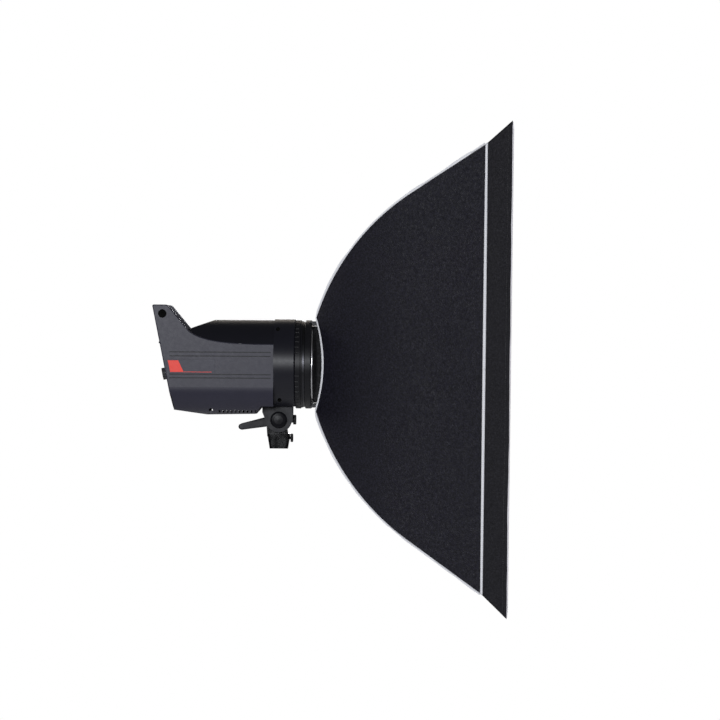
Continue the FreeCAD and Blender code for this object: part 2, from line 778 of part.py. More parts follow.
def front_collar():
    """The dark round collar at the front of the head, flat underneath for the bracket."""
    body = turned(
        "collar_turned",
        [
            (s.collar_back, s.collar_radius),
            (s.collar_front - 1.5, s.collar_radius),
            (s.collar_front, s.collar_radius - 1.5),
            (s.collar_front, 75),
            (s.collar_front - 4, 75),
            (s.collar_front - 4, s.collar_radius - 4),
            (s.collar_back, s.collar_radius - 4),
        ],
    )
    on_axis(body)
    flat = block("collar_flat", (-20, 40), (-60, 60), (60, s.bracket_top))
    floor = block(
        "collar_floor",
        (s.collar_back, s.collar_front - 4),
        (-27, 27),
        (s.bracket_top, s.bracket_top + 3),
    )
    holes = []
    for side, towards in ((-1, (0, 1, 0)), (1, (0, -1, 0))):
        for name, x, z in (("high", -1, 239), ("low", 3, 97.5)):
            label = f"collar_hole_{name}_{'right' if side < 0 else 'left'}"
            holes.append(rod(label, 4, 47.5, (x, side * 90, z), towards))
    keep(cut("front_collar", fuse("collar_body", cut("collar_cut", body, flat), floor), *holes))
    plate = turned(
        "plate_turned",
        [
            (s.collar_front - 4, 0),
            (s.collar_front - 4, 74.9),
            (s.collar_front, 74.9),
            (s.collar_front, 69),
            (s.collar_front - 1.5, 67.8),
            (s.collar_front - 1.5, 0),
        ],
    )
    on_axis(plate)
    openings = [rod("lamp_hole", 15, 20, (20, 0, s.axis_height), FORWARD)]
    for side, y in TUBE_LEGS:
        start = (20, y, s.axis_height - TUBE_RING)
        openings.append(rod(f"tube_hole_{side}", 3.2, 20, start, FORWARD))
    keep(cut("reflector_plate", plate, *openings))


def lamps():
    """The ring flash tube, the modelling lamp in its socket, and the glass dome over them."""
    tube = doc.addObject("Part::Torus", "tube_ring")
    bind(tube, Radius1=TUBE_RING, Radius2=4)
    tube.Placement.Rotation = Rotation(Vector(0, 0, 1), Vector(1, 0, 0))
    on_axis(tube, 50)
    legs = [
        rod(f"tube_leg_{side}", 3, 21, (s.collar_front - 3, y, s.axis_height - TUBE_RING), FORWARD)
        for side, y in TUBE_LEGS
    ]
    keep(fuse("flash_tube", tube, *legs))
    socket = turned("lamp_socket", [(14, 0), (14, 14.6), (38, 14.6), (38, 9), (32, 9), (32, 0)])
    keep(on_axis(socket))
    bulb = turned(
        "modelling_lamp",
        [
            (32.2, 0),
            (32.2, 7),
            (42, 7),
            (46, 11),
            (66, 11),
            (71, 8),
            (73.5, 0),
        ],
    )
    keep(on_axis(bulb))
    dome = turned(
        "glass_dome",
        [
            (s.collar_front - 1.3, s.dome_radius),
            (70, s.dome_radius),
            (83, s.dome_radius - 8),
            (91, s.dome_radius - 20),
            (95, s.dome_radius - 34),
            (96, 0),
            (94, 0),
            (93, s.dome_radius - 34.6),
            (89.3, s.dome_radius - 21.4),
            (81.8, s.dome_radius - 9.6),
            (69.4, s.dome_radius - 2),
            (s.collar_front - 1.3, s.dome_radius - 2),
        ],
    )
    keep(on_axis(dome))


def internals():
    """Chassis, capacitors, circuit board and fan."""
    keep(block("chassis", (-184, -12), (-60, 60), (118, 120)))
    cans = [
        rod(f"capacitor_{name}", 17, 80, (-120, y, 138), FORWARD)
        for name, y in (("right", -38), ("middle", 0), ("left", 38))
    ]
    keep(fuse("capacitors", *cans))
    keep(block("circuit_board", (-190, -30), (-62, 62), (172, 173.6)))
    frame = block("fan_block", (-184, -160), (-30, 30), (92, 117.8))
    frame_hole = rod("fan_hole", 11.4, 40, (-190, 0, 104.9), FORWARD)
    spider = block("fan_spider", (-163.5, -160.5), (-12, 12), (103.4, 106.4))
    spindle = rod("fan_spindle", 1.5, 14, (-175, 0, 104.9), FORWARD)
    keep(fuse("fan_frame", cut("fan_housing", frame, frame_hole), spider, spindle))
    hub = rod("fan_hub", 4.5, 15, (-180, 0, 104.9), FORWARD)
    hub_bore = rod("fan_bore", s.running_gap + 1.5, 14, (-176, 0, 104.9), FORWARD)
    blades = []
    for i in range(5):
        blade = doc.addObject("Part::Box", f"fan_blade_{i + 1}")
        blade.Length, blade.Width, blade.Height = 12, 1.2, 10.6
        turn = Rotation(Vector(1, 0, 0), 72 * i)
        blade.Placement = Placement(Vector(-178, 0, 104.9), turn)
        blades.append(blade)
    keep(cut("fan_rotor", fuse("fan_wheel", hub, *blades), hub_bore))


def trim(bolts):
    """Label plates, and the screws and bolts that show in the collar and the handle's ears."""
    half = value("shell_half")
    plates = []
    for side in (-1, 1):
        y = -half + 0.1 if side < 0 else half - 0.7
        plates.append(Part.makeBox(96, 0.6, 27, Vector(-221.5, y, 150)))
    keep(feature("side_labels", Part.makeCompound(plates)))
    screws = []
    radius = value("collar_radius") - 4
    for x, z in ((-1, 239), (3, 97.5)):
        rise = z - value("axis_height")
        reach = math.sqrt(radius**2 - rise**2)
        for side in (-1, 1):
            start = Vector(x, side * (reach - 4), z)
            screw = Part.makeCylinder(4, 4, start, Vector(0, side, 0))
            cross = Part.makeCylinder(1.4, 3, start + Vector(0, side * 2.5, 0), Vector(0, side, 0))
            screws.append(screw.cut(cross))
    keep(feature("housing_screws", Part.makeCompound(screws + bolts)))


# The bayonet and the rings.


def lock_ring():
    """The head's bayonet lock ring, ribbed for the fingers."""
    body = turned(
        "lock_turned",
        [
            (s.lock_back, s.lock_inside),
            (s.lock_back, s.ring_radius - 1),
            (s.lock_back + 1, s.ring_radius),
            (s.lock_front - 4, s.ring_radius),
            (s.lock_front - 3, s.ring_radius - 2),
            (s.lock_front, s.ring_radius - 2),
            (s.lock_front, s.lock_inside),
        ],
    )
    on_axis(body)
    ribs = []
    count = 48
    for i in range(count):
        if i % 12 in (0, 1, 11):
            continue
        turn = 2 * math.pi * i / count
        across, up = math.cos(turn), math.sin(turn)
        at = (
            s.lock_back - 1,
            (s.ring_radius + 1.2) * across,
            s.axis_height + (s.ring_radius + 1.2) * up,
        )
        ribs.append(rod(f"lock_rib_{i + 1}", 2, 9, at, FORWARD))
    keep(cut("lock_ring", body, *ribs))


def adapter():
    """The speedring's fixed half: bayonet lugs behind, a bearing sleeve in front."""
    body = turned(
        "adapter_turned",
        [
            (s.collar_front + 2.6, s.adapter_inside + 2),
            (s.collar_front + 2.6, s.adapter_outside - 4),
            (s.lock_front + 0.4, s.adapter_outside - 4),
            (s.lock_front + 0.4, s.ring_radius - 3),
            (s.turn_back - 0.4, s.ring_radius - 3),
            (s.turn_back - 0.4, s.adapter_outside),
            (s.turn_front + 0.4, s.adapter_outside),
            (s.turn_front + 0.4, s.adapter_inside),
            (s.lock_front, s.adapter_inside),
        ],
    )
    on_axis(body)
    lugs = turned(
        "lug_turned",
        [
            (s.collar_front + 2.6, s.adapter_outside - 5),
            (s.collar_front + 2.6, s.adapter_outside - 0.2),
            (s.collar_front + 6, s.adapter_outside - 0.2),
            (s.collar_front + 6, s.adapter_outside - 5),
        ],
        angle=35,
    )
    bind(lugs, Placement__Base__z=s.axis_height)
    three = []
    for i in range(3):
        lug = doc.addObject("App::Link", f"bayonet_lug_{i + 1}")
        lug.LinkedObject = lugs
        lug.Placement.Rotation = Rotation(Vector(1, 0, 0), 120 * i)
        three.append(bind(lug, Placement__Base__z=s.axis_height))
    keep(fuse("bayonet_adapter", body, *three))
    retainer = turned(
        "retaining_ring",
        [
            (s.turn_front + 0.4, s.adapter_inside),
            (s.turn_front + 0.4, s.retainer_radius),
            (s.retainer_front, s.retainer_radius),
            (s.retainer_front, s.adapter_inside),
        ],
    )
    keep(on_axis(retainer))


def rotating_ring():
    """The speedring's turning half, with a pair of hinge lugs for each rod holder."""
    body = turned(
        "ring_turned",
        [
            (s.turn_back, s.adapter_outside + s.running_gap),
            (s.turn_back, s.ring_radius - 1),
            (s.turn_back + 1, s.ring_radius),
            (s.turn_front - 1.5, s.ring_radius),
            (s.turn_front, s.ring_radius - 1.5),
            (s.turn_front, s.adapter_outside + s.running_gap),
        ],
    )
    on_axis(body)
    plates, pins = [], []
    for up, height in (("upper", s.axis_height + s.hinge_z), ("lower", s.axis_height - s.hinge_z)):
        for side, middle in (("right", -s.hinge_y), ("left", s.hinge_y)):
            near = s.knuckle_half + 0.3
            for edge, low in (("inner", -near - s.plate_thick), ("outer", near)):
                plates.append(
                    block(
                        f"hinge_plate_{up}_{side}_{edge}",
                        (s.turn_front - 5, s.hinge_x + s.plate_half),
                        (middle + low, middle + low + s.plate_thick),
                        (height - s.plate_half, height + s.plate_half),
                    )
                )
            reach = near + s.plate_thick + 0.4
            start = (s.hinge_x, middle - reach, height)
            pins.append(rod(f"hinge_pin_{up}_{side}", s.holder_pin, 2 * reach, start, LEFT))
    keep(cut("rotating_ring", fuse("ring_body", body, *plates), *pins))
    keep(compound("holder_pins", *pins))


# The rods and the cloth.


def skirt_section(inset, low, high):
    """A tall lens-shaped bar along the axis: two big cylinders' overlap, cut off above and below."""
    radius = value("skirt_side") - inset
    offset = value("skirt_side") - value("skirt_width")
    half = value("skirt_half") - inset
    axis = value("axis_height")
    lens = Part.makeBox(high - low, 200, 2 * half, Vector(low, -100, axis - half))
    for side in (-1, 1):
        start = Vector(low, side * offset, axis)
        lens = lens.common(Part.makeCylinder(radius, high - low, start, Vector(1, 0, 0)))
    return lens


def rear_skirt():
    """The dark cloth skirt that closes the cover's mouth behind the lamp, with a flange on the ring."""
    thick = 1.2
    back, front = value("retainer_front") + 0.4, value("skirt_front")
    flange = Part.makeCylinder(
        value("retainer_radius") - 1, thick, Vector(back, 0, value("axis_height")), Vector(1, 0, 0)
    )
    skirt = skirt_section(0, back, front).fuse(flange).cut(skirt_section(thick, back - 1, front + 1))
    keep(feature("rear_skirt", skirt))


def seam_point(angle, inset=0.0):
    """A point of the corner seam's bend where it runs at an angle, as (reach, half height)."""
    start = math.radians(value("bend_start"))
    radius = value("bend_radius")
    centre_x = radius * math.sin(start)
    centre_z = value("base_half") - radius * math.cos(start)
    a = math.radians(angle)
    return centre_x - (radius - inset) * math.sin(a), centre_z + (radius - inset) * math.cos(a)


def half_height(reach):
    """Half the cover's height at a reach past the bend."""
    x, z = seam_point(value("bend_end"))
    seam = value("seam_reach")
    slope = math.tan(math.radians(value("bend_end")))
    if reach <= seam:
        return z + (reach - x) * slope
    lip_slope = value("lip_rise") / (value("lip_reach") - seam)
    return z + (seam - x) * slope + (reach - seam) * lip_slope


def seam_edges(reach, inset=0.0):
    """The bend and the straight run after it, in the plane Y = 0, out to a reach."""
    start, end = value("bend_start"), value("bend_end")
    a, m, b = [Vector(x, 0, z) for x, z in (seam_point(t, inset) for t in (start, (start + end) / 2, end))]
    run = (reach - seam_point(end)[0]) / math.cos(math.radians(end))
    tip = b + Vector(math.cos(math.radians(end)), 0, math.sin(math.radians(end))) * run
    return [Part.Arc(a, m, b).toShape(), Part.makeLine(b, tip)]


def side_profile(points):
    """Profile points (reach, half height) moved to the side: (reach, -half width)."""
    ratio = value("width_ratio")
    return [Vector(p.x, -ratio * p.z, 0) for p in points]


def smooth(points):
    curve = Part.BSplineCurve()
    curve.interpolate(points)
    return curve.toShape()


def bend_points(reach, count=9):
    """Points along the bend and the end of the straight run."""
    start, end = value("bend_start"), value("bend_end")
    angles = [start + (end - start) * i / (count - 1) for i in range(count)]
    bend = [Vector(x, 0, z) for x, z in map(seam_point, angles)]
    return bend, Vector(reach, 0, half_height(reach))


def band(edges, shift, away, span):
    """A thin solid: a line of edges given thickness by a shift, and drawn out across a span."""
    moved = [e.copy() for e in edges]
    for e in moved:
        e.translate(shift)
    first, last = edges[0].Vertexes[0].Point, edges[-1].Vertexes[-1].Point
    closing = [Part.makeLine(last, last + shift), Part.makeLine(first, first + shift)]
    wire = Part.Wire(Part.__sortEdges__(edges + moved + closing))
    face = Part.Face(wire)
    face.translate(away * -span)
    return face.extrude(away * (2 * span))


def wedge(side):
    """The sector of the box that belongs to its top or to its right-hand side."""
    ratio, gap, far = value("width_ratio"), value("cloth_gap"), 700.0
    if side == "top":
        start = gap / ratio
        corners = [(0, start), (-far * ratio, far + start), (far * ratio, far + start)]
    else:
        corners = [(-gap, 0), (-gap - far * ratio, far), (-gap - far * ratio, -far)]
    points = [Vector(-60, y, z) for y, z in corners + corners[:1]]
    return Part.Face(Part.makePolygon(points)).extrude(Vector(600, 0, 0))


TOP_NORMAL = Vector(0.79, 0, -0.613)
SIDE_NORMAL = Vector(0.55, 0.835, 0)


def lip_normal(side):
    rise = value("lip_rise") / (value("lip_reach") - value("seam_reach"))
    slope = math.atan(rise if side == "top" else rise * value("width_ratio"))
    if side == "top":
        return Vector(math.sin(slope), 0, -math.cos(slope))
    return Vector(math.sin(slope), math.cos(slope), 0)


def profile(side, low, high):
    """The cover's profile between two reaches, as edges."""
    if low > 0:
        points = [Vector(r, 0, half_height(r)) for r in (low, high)]
        if low < value("seam_reach") < high:
            seam = value("seam_reach")
            points.insert(1, Vector(seam, 0, half_height(seam)))
        if side == "side":
            points = side_profile(points)
        return [Part.makeLine(a, b) for a, b in zip(points, points[1:])]
    if side == "top":
        return seam_edges(high)
    bend, tip = bend_points(high)
    bend, (tip,) = side_profile(bend), side_profile([tip])
    return [smooth(bend), Part.makeLine(bend[-1], tip)]


def cover_piece(side, low, high, outer, inner, normal=None):
    """A sheet of the cover on one side of the box, inner and outer being depths below its surface."""
    usual = TOP_NORMAL if side == "top" else SIDE_NORMAL
    normal = normal or usual
    edges = profile(side, low, high)
    for e in edges:
        e.translate(normal * outer)
    away = Vector(0, 1, 0) if side == "top" else Vector(0, 0, 1)
    span = 230 if side == "top" else 560
    return band(edges, normal * (inner - outer), away, span).common(wedge(side))


def upper_half(shape):
    low = value("cloth_gap") / 2
    return shape.common(Part.makeBox(900, 900, 700, Vector(-200, -450, low)))


def to_box(shape):
    """Moves a shape from the cover's own frame to its place in front of the head."""
    shape.translate(Vector(value("cover_base"), 0, value("axis_height")))
    return shape


def flip(shape, normal):
    return shape.mirror(Vector(0, 0, 0), Vector(*normal))


def pair_of_nodes(stem, shape):
    """Keeps a shape as the upper node and its mirror image as the lower one."""
    upper = feature(f"{stem}_upper", to_box(shape))
    keep(upper)
    keep(mirrored(f"{stem}_lower", upper, (0, 0, 1)))


def cover():
    """The cloth cover: top, bottom and two side panels, the side ones in two halves."""
    tape = value("tape_half")
    high = value("seam_reach") - tape - value("cloth_gap")
    cloth = value("cloth")
    scoop = value("back_scoop")
    half = value("base_half")
    radius = (half**2 + scoop**2) / (2 * scoop)
    side = upper_half(cover_piece("side", 0, high, 0, cloth))
    side = side.cut(Part.makeCylinder(radius, 900, Vector(scoop - radius, -450, 0), Vector(0, 1, 0)))
    top = cover_piece("top", 0, high, 0, cloth)
    pair_of_nodes("cover_right", side.copy())
    pair_of_nodes("cover_left", flip(side, (0, 1, 0)))
    pair_of_nodes("cover_end", top)


def around(side_piece, top_piece):
    """A top piece with a half side piece at each end, as separate solids of one node."""
    half = upper_half(side_piece)
    return Part.makeCompound([top_piece, half, flip(half, (0, 1, 0))])


def lip_and_tapes(pockets):
    """The flared lip, and the tapes over its seam and the corner seams, with the rods' pockets."""
    seam, front = value("seam_reach"), value("lip_reach")
    tape, gap, cloth = value("tape_half"), value("cloth_gap"), value("cloth")
    low = seam + tape + gap
    pieces = [cover_piece(s, low, front, 0, cloth, lip_normal(s)) for s in ("side", "top")]
    pair_of_nodes("lip", around(*pieces))
    pieces = [cover_piece(s, seam - tape, seam + tape, -1.2, cloth, lip_normal(s)) for s in ("side", "top")]
    pair_of_nodes("front_tape", around(*pieces))
    seams = []
    for side in (-1, 1):
        seams.append(tube(corner_path(side, -3, -2.4, 2, seam - tape - 4), 2.0))
    pair_of_nodes("corner_tapes", Part.makeCompound(seams + pockets))


def corner_path(side, inset, side_inset, low, high):
    """A line near a corner seam, from a reach on its bend to a reach on its straight run.

    Returns the bend, as one arc tangent to the run, and the run. inset is the depth below the
    seam and side_inset the extra depth towards the middle.
    """
    ratio = value("width_ratio")
    end = math.radians(value("bend_end"))
    start_x, start_z = seam_point(value("bend_start") - low, inset)
    bend_x, bend_z = seam_point(value("bend_end"), inset)
    run = (high - bend_x) / math.cos(end)
    flat = [(start_x, start_z), (bend_x, bend_z), (high, bend_z + run * math.sin(end))]
    first, joint, last = [Vector(x, side * (ratio * z - side_inset), z) for x, z in flat]
    along = (last - joint).normalize()
    chord = first - joint
    inwards = (chord - along * chord.dot(along)).normalize()
    radius = chord.Length**2 / (2 * chord.dot(inwards))
    centre = joint + inwards * radius
    middle = centre + ((first + joint) * 0.5 - centre).normalize() * radius
    return Part.Arc(first, middle, joint).toShape(), Part.makeLine(joint, last)


def tube(edges, radius):
    """A round bar along edges that run into each other smoothly."""
    start = edges[0].valueAt(edges[0].FirstParameter)
    ring = Part.Wire([Part.makeCircle(radius, start, edges[0].tangentAt(edges[0].FirstParameter))])
    return Part.Wire(edges).makePipeShell([ring], True, False)


def rods_and_holders():
    """The four bent rods and their hinged holders. Returns the two upper pockets for their tips."""
    radius, gap = value("rod_radius"), value("running_gap")
    outer, reach = value("holder_radius"), value("holder_reach")
    rods, holders, pockets = [], [], []
    for side in (-1, 1):
        bend, run = corner_path(
            side, value("rod_inset"), value("rod_side_inset"), 0.5, value("seam_reach") - 14
        )
        rods.append(tube([bend, run], radius))
        foot = bend.valueAt(bend.FirstParameter)
        out = bend.tangentAt(bend.FirstParameter)
        hinge = Vector(
            value("hinge_x") - value("cover_base"), side * value("hinge_y"), value("hinge_z")
        )
        half = value("knuckle_half")
        knuckle = Part.makeCylinder(outer, 2 * half, hinge - Vector(0, half, 0), Vector(0, 1, 0))
        start = foot - out * 1.5
        neck = Part.makeCylinder(3.0, (start - hinge).Length + 1, hinge, start - hinge)
        sleeve = Part.makeCylinder(outer, reach, start, out)
        grip = Part.makeCylinder(outer + 0.9, 8, foot + out * (reach - 14), out)
        pin = Part.makeCylinder(
            value("holder_pin") + gap, 20, hinge - Vector(0, 10, 0), Vector(0, 1, 0)
        )
        holder = knuckle.fuse(neck).fuse(sleeve).fuse(grip).cut(pin)
        holders.append(holder.cut(tube([bend, run], radius + gap)))
        way = run.tangentAt(run.FirstParameter)
        tip = run.valueAt(run.LastParameter)
        pocket = Part.makeCylinder(4.2, 24, tip - way * 18, way)
        pockets.append(pocket.cut(Part.makeCylinder(radius + gap, 18.2, tip - way * 18, way)))
    pair_of_nodes("rods", Part.makeCompound(rods))
    pair_of_nodes("rod_holders", Part.makeCompound(holders))
    return pockets


def diffusers():
    """The inner diffuser with its straps, and the front diffuser with its hem in the lip."""
    ratio, cloth, gap = value("width_ratio"), value("cloth"), value("cloth_gap")
    reach, half = value("baffle_reach"), value("baffle_half")
    width = 2 * 100
    sheet_solid = Part.makeBox(1.2, width, half - gap / 2, Vector(reach, -width / 2, gap / 2))
    pieces = [sheet_solid]
    for side in (-1, 1):
        corner = Vector(reach + 0.6, side * 99, half - 1)
        hook = Vector(reach - 1.5, side * 108, half + 26)
        pieces.append(Part.makeCylinder(1.6, (hook - corner).Length, corner, hook - corner))
    strapped = pieces[0]
    for strap in pieces[1:]:
        strapped = strapped.fuse(strap)
    pair_of_nodes("inner_diffuser", strapped)
    reach = value("diffuser_reach")
    z = half_height(reach) - 4.2
    y = ratio * half_height(reach) - 3.4
    sheet_solid = Part.makeBox(1.2, 2 * y, z - gap / 2, Vector(reach, -y, gap / 2))
    front = value("lip_reach") + value("hem_proud")
    hems = [cover_piece(s, reach, front, cloth + 0.4, cloth + 1.6, lip_normal(s)) for s in ("side", "top")]
    hem = around(*hems)
    whole = sheet_solid
    for piece in hem.Solids:
        whole = whole.fuse(piece)
    pair_of_nodes("front_diffuser", whole)


def build():
    """Makes every sub-part, from the stand socket up to the front diffuser."""
    stand_socket()
    knob("spigot_clamp_knob", s.clamp_knob, 9, 23.5, 5, s.clamp_height)
    knob("tilt_drag_knob", s.drag_knob, s.bracket_front - 3, s.bracket_front + 0.3, 6.2, s.drag_height)
    tilt_bracket()
    pivot_cap()
    tilt_lever()
    head_shells()
    top_cover()
    rear_panel()
    rear_controls()
    bolts = handle_bar()
    front_collar()
    lamps()
    internals()
    trim(bolts)
    lock_ring()
    adapter()
    rotating_ring()
    rear_skirt()
    pockets = rods_and_holders()
    cover()
    lip_and_tapes(pockets)
    diffusers()


def check_and_write():
    """Refuses a failed feature or a broken shape, then writes one STEP file per sub-part."""
    doc.recompute()
    broken = [o.Label for o in doc.Objects if "Invalid" in o.State or "Error" in o.State]
    if broken:
        raise RuntimeError(f"failed features: {broken}")
    os.makedirs("parts", exist_ok=True)
    for old in os.listdir("parts"):
        os.remove(os.path.join("parts", old))
    for thing in subparts:
        shape = thing.Shape
        if shape.isNull() or not shape.isValid() or not shape.Solids:
            raise RuntimeError(f"{thing.Label} is not a valid solid")
        shape.exportStep(os.path.join("parts", thing.Label + ".step"))
        print(f"{thing.Label:24s} {len(shape.Solids):3d} solids {shape.Volume / 1000:10.2f} cm3")
    print(len(subparts), "sub-parts")


build()
check_and_write()
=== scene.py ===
"""Strip softbox on its flash head: cloth, tapes, diffusers, materials, light and camera.

Metres, in the same frame as the design: +X is the way the light points and +Z is up. Points of the
cloth box are worked out in a frame of its own, where x is the distance past the cover's mouth and
y and z are measured from the optical axis, and are moved into place at the end.
"""

import json
import math

import bpy
import numpy as np
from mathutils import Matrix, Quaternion, Vector, noise


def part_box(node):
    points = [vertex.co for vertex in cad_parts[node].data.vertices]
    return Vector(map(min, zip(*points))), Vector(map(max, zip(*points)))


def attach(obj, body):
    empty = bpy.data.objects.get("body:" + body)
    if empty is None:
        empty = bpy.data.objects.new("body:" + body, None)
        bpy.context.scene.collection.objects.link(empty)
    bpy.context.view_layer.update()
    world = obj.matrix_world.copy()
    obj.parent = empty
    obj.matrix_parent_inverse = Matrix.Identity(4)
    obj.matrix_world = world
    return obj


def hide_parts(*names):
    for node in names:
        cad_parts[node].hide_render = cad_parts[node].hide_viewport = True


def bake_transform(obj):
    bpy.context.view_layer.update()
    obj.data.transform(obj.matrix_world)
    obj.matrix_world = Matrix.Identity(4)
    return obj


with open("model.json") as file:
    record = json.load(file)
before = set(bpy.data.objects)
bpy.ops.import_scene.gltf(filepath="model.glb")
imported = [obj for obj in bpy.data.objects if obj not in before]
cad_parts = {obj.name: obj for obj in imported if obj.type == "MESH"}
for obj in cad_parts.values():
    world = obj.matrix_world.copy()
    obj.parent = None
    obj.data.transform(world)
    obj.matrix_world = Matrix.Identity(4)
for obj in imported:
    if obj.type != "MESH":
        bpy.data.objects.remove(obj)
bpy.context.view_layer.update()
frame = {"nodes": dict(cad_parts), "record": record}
NODES = frame["nodes"]
MM = 0.001

# Where the cloth box sits, from the frame.
AXIS_Z = sum(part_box("lock_ring")[i].z for i in (0, 1)) / 2
MOUTH_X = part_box("cover_end_upper")[0].x

# The cover's driving dimensions, which are those of the design.
BASE_HALF = 90 * MM
BEND_START = math.radians(72.4)
BEND_END = math.radians(34.2)
BEND_RADIUS = 485 * MM
SEAM_X = 338 * MM
LIP_X = 388 * MM
LIP_RISE = 46 * MM
WIDTH_RATIO = 0.392
SCOOP = 13 * MM
CLOTH = 0.9 * MM
TAPE_HALF = 3.2 * MM
DIFFUSER_X = 352 * MM
HEM_PROUD = 2 * MM
BAFFLE_X = 170 * MM
BAFFLE_HALF = 285 * MM
BAFFLE_WIDTH_HALF = 100 * MM
STRAP_HOOK_Y = 110 * MM
STRAP_HOOK_Z = 314 * MM

# How the box hangs: it sinks, and its top leans forwards, more and more from the mouth onwards.
SAG = 6.5 * MM
SAG_CURVE = 1.3
SAG_END = 1.2
LEAN = 0.005

# The grooves in the side shells: bottom edges above the axis, and ends before the front collar.
GROOVE_DEPTH = 1.5 * MM
GROOVE_HEIGHT = 2.2 * MM
GROOVE_RISES = (22 * MM, 14 * MM, -22.5 * MM, -29.5 * MM)
GROOVE_ENDS = (-206.8 * MM, -5.2 * MM)

BEND_CENTRE_X = BEND_RADIUS * math.sin(BEND_START)
BEND_CENTRE_Z = BASE_HALF - BEND_RADIUS * math.cos(BEND_START)
BEND_X = BEND_CENTRE_X - BEND_RADIUS * math.sin(BEND_END)
HALVES = {"upper": 1, "lower": -1}
SIDES = {"right": -1, "left": 1}


# Curves of the cloth box.


def half_height(x):
    """Half the cover's height at a distance past its mouth."""
    x = np.asarray(x, float)
    bend = BEND_CENTRE_Z + np.sqrt(BEND_RADIUS**2 - (BEND_CENTRE_X - np.minimum(x, BEND_X)) ** 2)
    run = np.clip(x - BEND_X, 0, SEAM_X - BEND_X) * math.tan(BEND_END)
    return bend + run + np.maximum(x - SEAM_X, 0) * LIP_RISE / (LIP_X - SEAM_X)


def reaches(start, end, count):
    """Distances from start to end, spaced evenly along the cover's profile."""
    x = np.linspace(start, end, 400)
    length = np.concatenate([[0], np.cumsum(np.hypot(np.diff(x), np.diff(half_height(x))))])
    return np.interp(np.linspace(0, length[-1], count), length, x)


def smooth_noise(points, scale, seed):
    """Smooth noise from -1 to 1 at each point, with features of about the given size."""
    flat = points.reshape(-1, 3) / scale + seed
    values = [noise.noise(Vector(p)) for p in flat]
    return np.array(values).reshape(points.shape[:-1])


def ease(t):
    """A smooth step from 0 to 1."""
    t = np.clip(t, 0, 1)
    return t * t * (3 - 2 * t)


# Meshes.


def grid_normals(grid):
    """Unit normals of a grid of points."""
    normals = np.cross(np.gradient(grid, axis=0), np.gradient(grid, axis=1))
    return normals / np.linalg.norm(normals, axis=2, keepdims=True)


def steps(grid, axis):
    """Distance along a grid's rows or columns, averaged over the other way."""
    along = np.linalg.norm(np.diff(grid, axis=axis), axis=2).mean(axis=1 - axis)
    return np.concatenate([[0], np.cumsum(along)])


def new_object(name, verts, faces, materials, indices=None, uvs=None, smooth=True):
    """A mesh object in the scene. uvs are by vertex, and indices and smooth are by face."""
    mesh = bpy.data.meshes.new(name)
    mesh.from_pydata([tuple(v) for v in verts], [], [tuple(f) for f in faces])
    for material in materials:
        mesh.materials.append(material)
    if indices is not None:
        mesh.polygons.foreach_set("material_index", np.asarray(indices, np.int32))
    mesh.polygons.foreach_set("use_smooth", np.broadcast_to(smooth, len(mesh.polygons)).copy())
    if uvs is not None:
        layer = mesh.uv_layers.new(name="UVMap")
        loops = np.zeros(len(mesh.loops), np.int32)
        mesh.loops.foreach_get("vertex_index", loops)
        layer.data.foreach_set("uv", np.asarray(uvs, np.float32)[loops].ravel())
    mesh.validate()
    mesh.update()
    piece = bpy.data.objects.new(name, mesh)
    bpy.context.scene.collection.objects.link(piece)
    return piece


def place(points):
    """Points of the cloth box's own frame, moved to the row frame, with the box's slight sag."""
    share = np.clip(points[..., 0] / SEAM_X, 0, SAG_END) ** SAG_CURVE
    moved = points + np.array([MOUTH_X, 0, AXIS_Z])
    moved[..., 0] += share * points[..., 2] * LEAN
    moved[..., 2] -= share * SAG
    return moved


def cloth(name, grid, materials, out, thickness=CLOTH):
    """A closed sheet whose outer face is the grid. The second material is for the inner face."""
    if grid_normals(grid).mean((0, 1)) @ np.array(out) < 0:
        grid = grid[:, ::-1]
    rows, columns = grid.shape[:2]
    inner = grid - grid_normals(grid) * thickness
    count = rows * columns
    verts = place(np.concatenate([grid.reshape(-1, 3), inner.reshape(-1, 3)]))
    index = np.arange(count).reshape(rows, columns)
    a, b, c, d = index[:-1, :-1], index[1:, :-1], index[1:, 1:], index[:-1, 1:]
    outer_faces = np.stack([a, b, c, d], -1).reshape(-1, 4)
    inner_faces = outer_faces[:, ::-1] + count
    rim = np.concatenate([index[0, :], index[1:, -1], index[-1, -2::-1], index[-2:0:-1, 0]])
    following = np.roll(rim, -1)
    rim_faces = np.stack([rim, following, following + count, rim + count], -1)
    faces = np.concatenate([outer_faces, inner_faces, rim_faces])
    counts = len(outer_faces), len(inner_faces), len(rim_faces)
    indices = np.repeat([0, len(materials) - 1, 0], counts)
    smooth = np.repeat([True, True, False], counts)
    u, v = np.meshgrid(steps(grid, 0), steps(grid, 1), indexing="ij")
    uv = np.stack([u, v], -1).reshape(-1, 2)
    piece = new_object(name, verts, faces, materials, indices, np.concatenate([uv, uv]), smooth)
    on_rim = np.isin(np.arange(2 * count) % count, rim)
    sharpen(piece.data, on_rim, np.arange(2 * count) // count)
    return piece


def sharpen(mesh, on_rim, layer):
    """Marks the edges round a sheet's rim as sharp, so that the rim doesn't bend the cloth's shading."""
    ends = np.zeros(2 * len(mesh.edges), np.int32)
    mesh.edges.foreach_get("vertices", ends)
    ends = ends.reshape(-1, 2)
    sharp = on_rim[ends].all(1) & (layer[ends[:, 0]] == layer[ends[:, 1]])
    mesh.edges.foreach_set("use_edge_sharp", sharp)


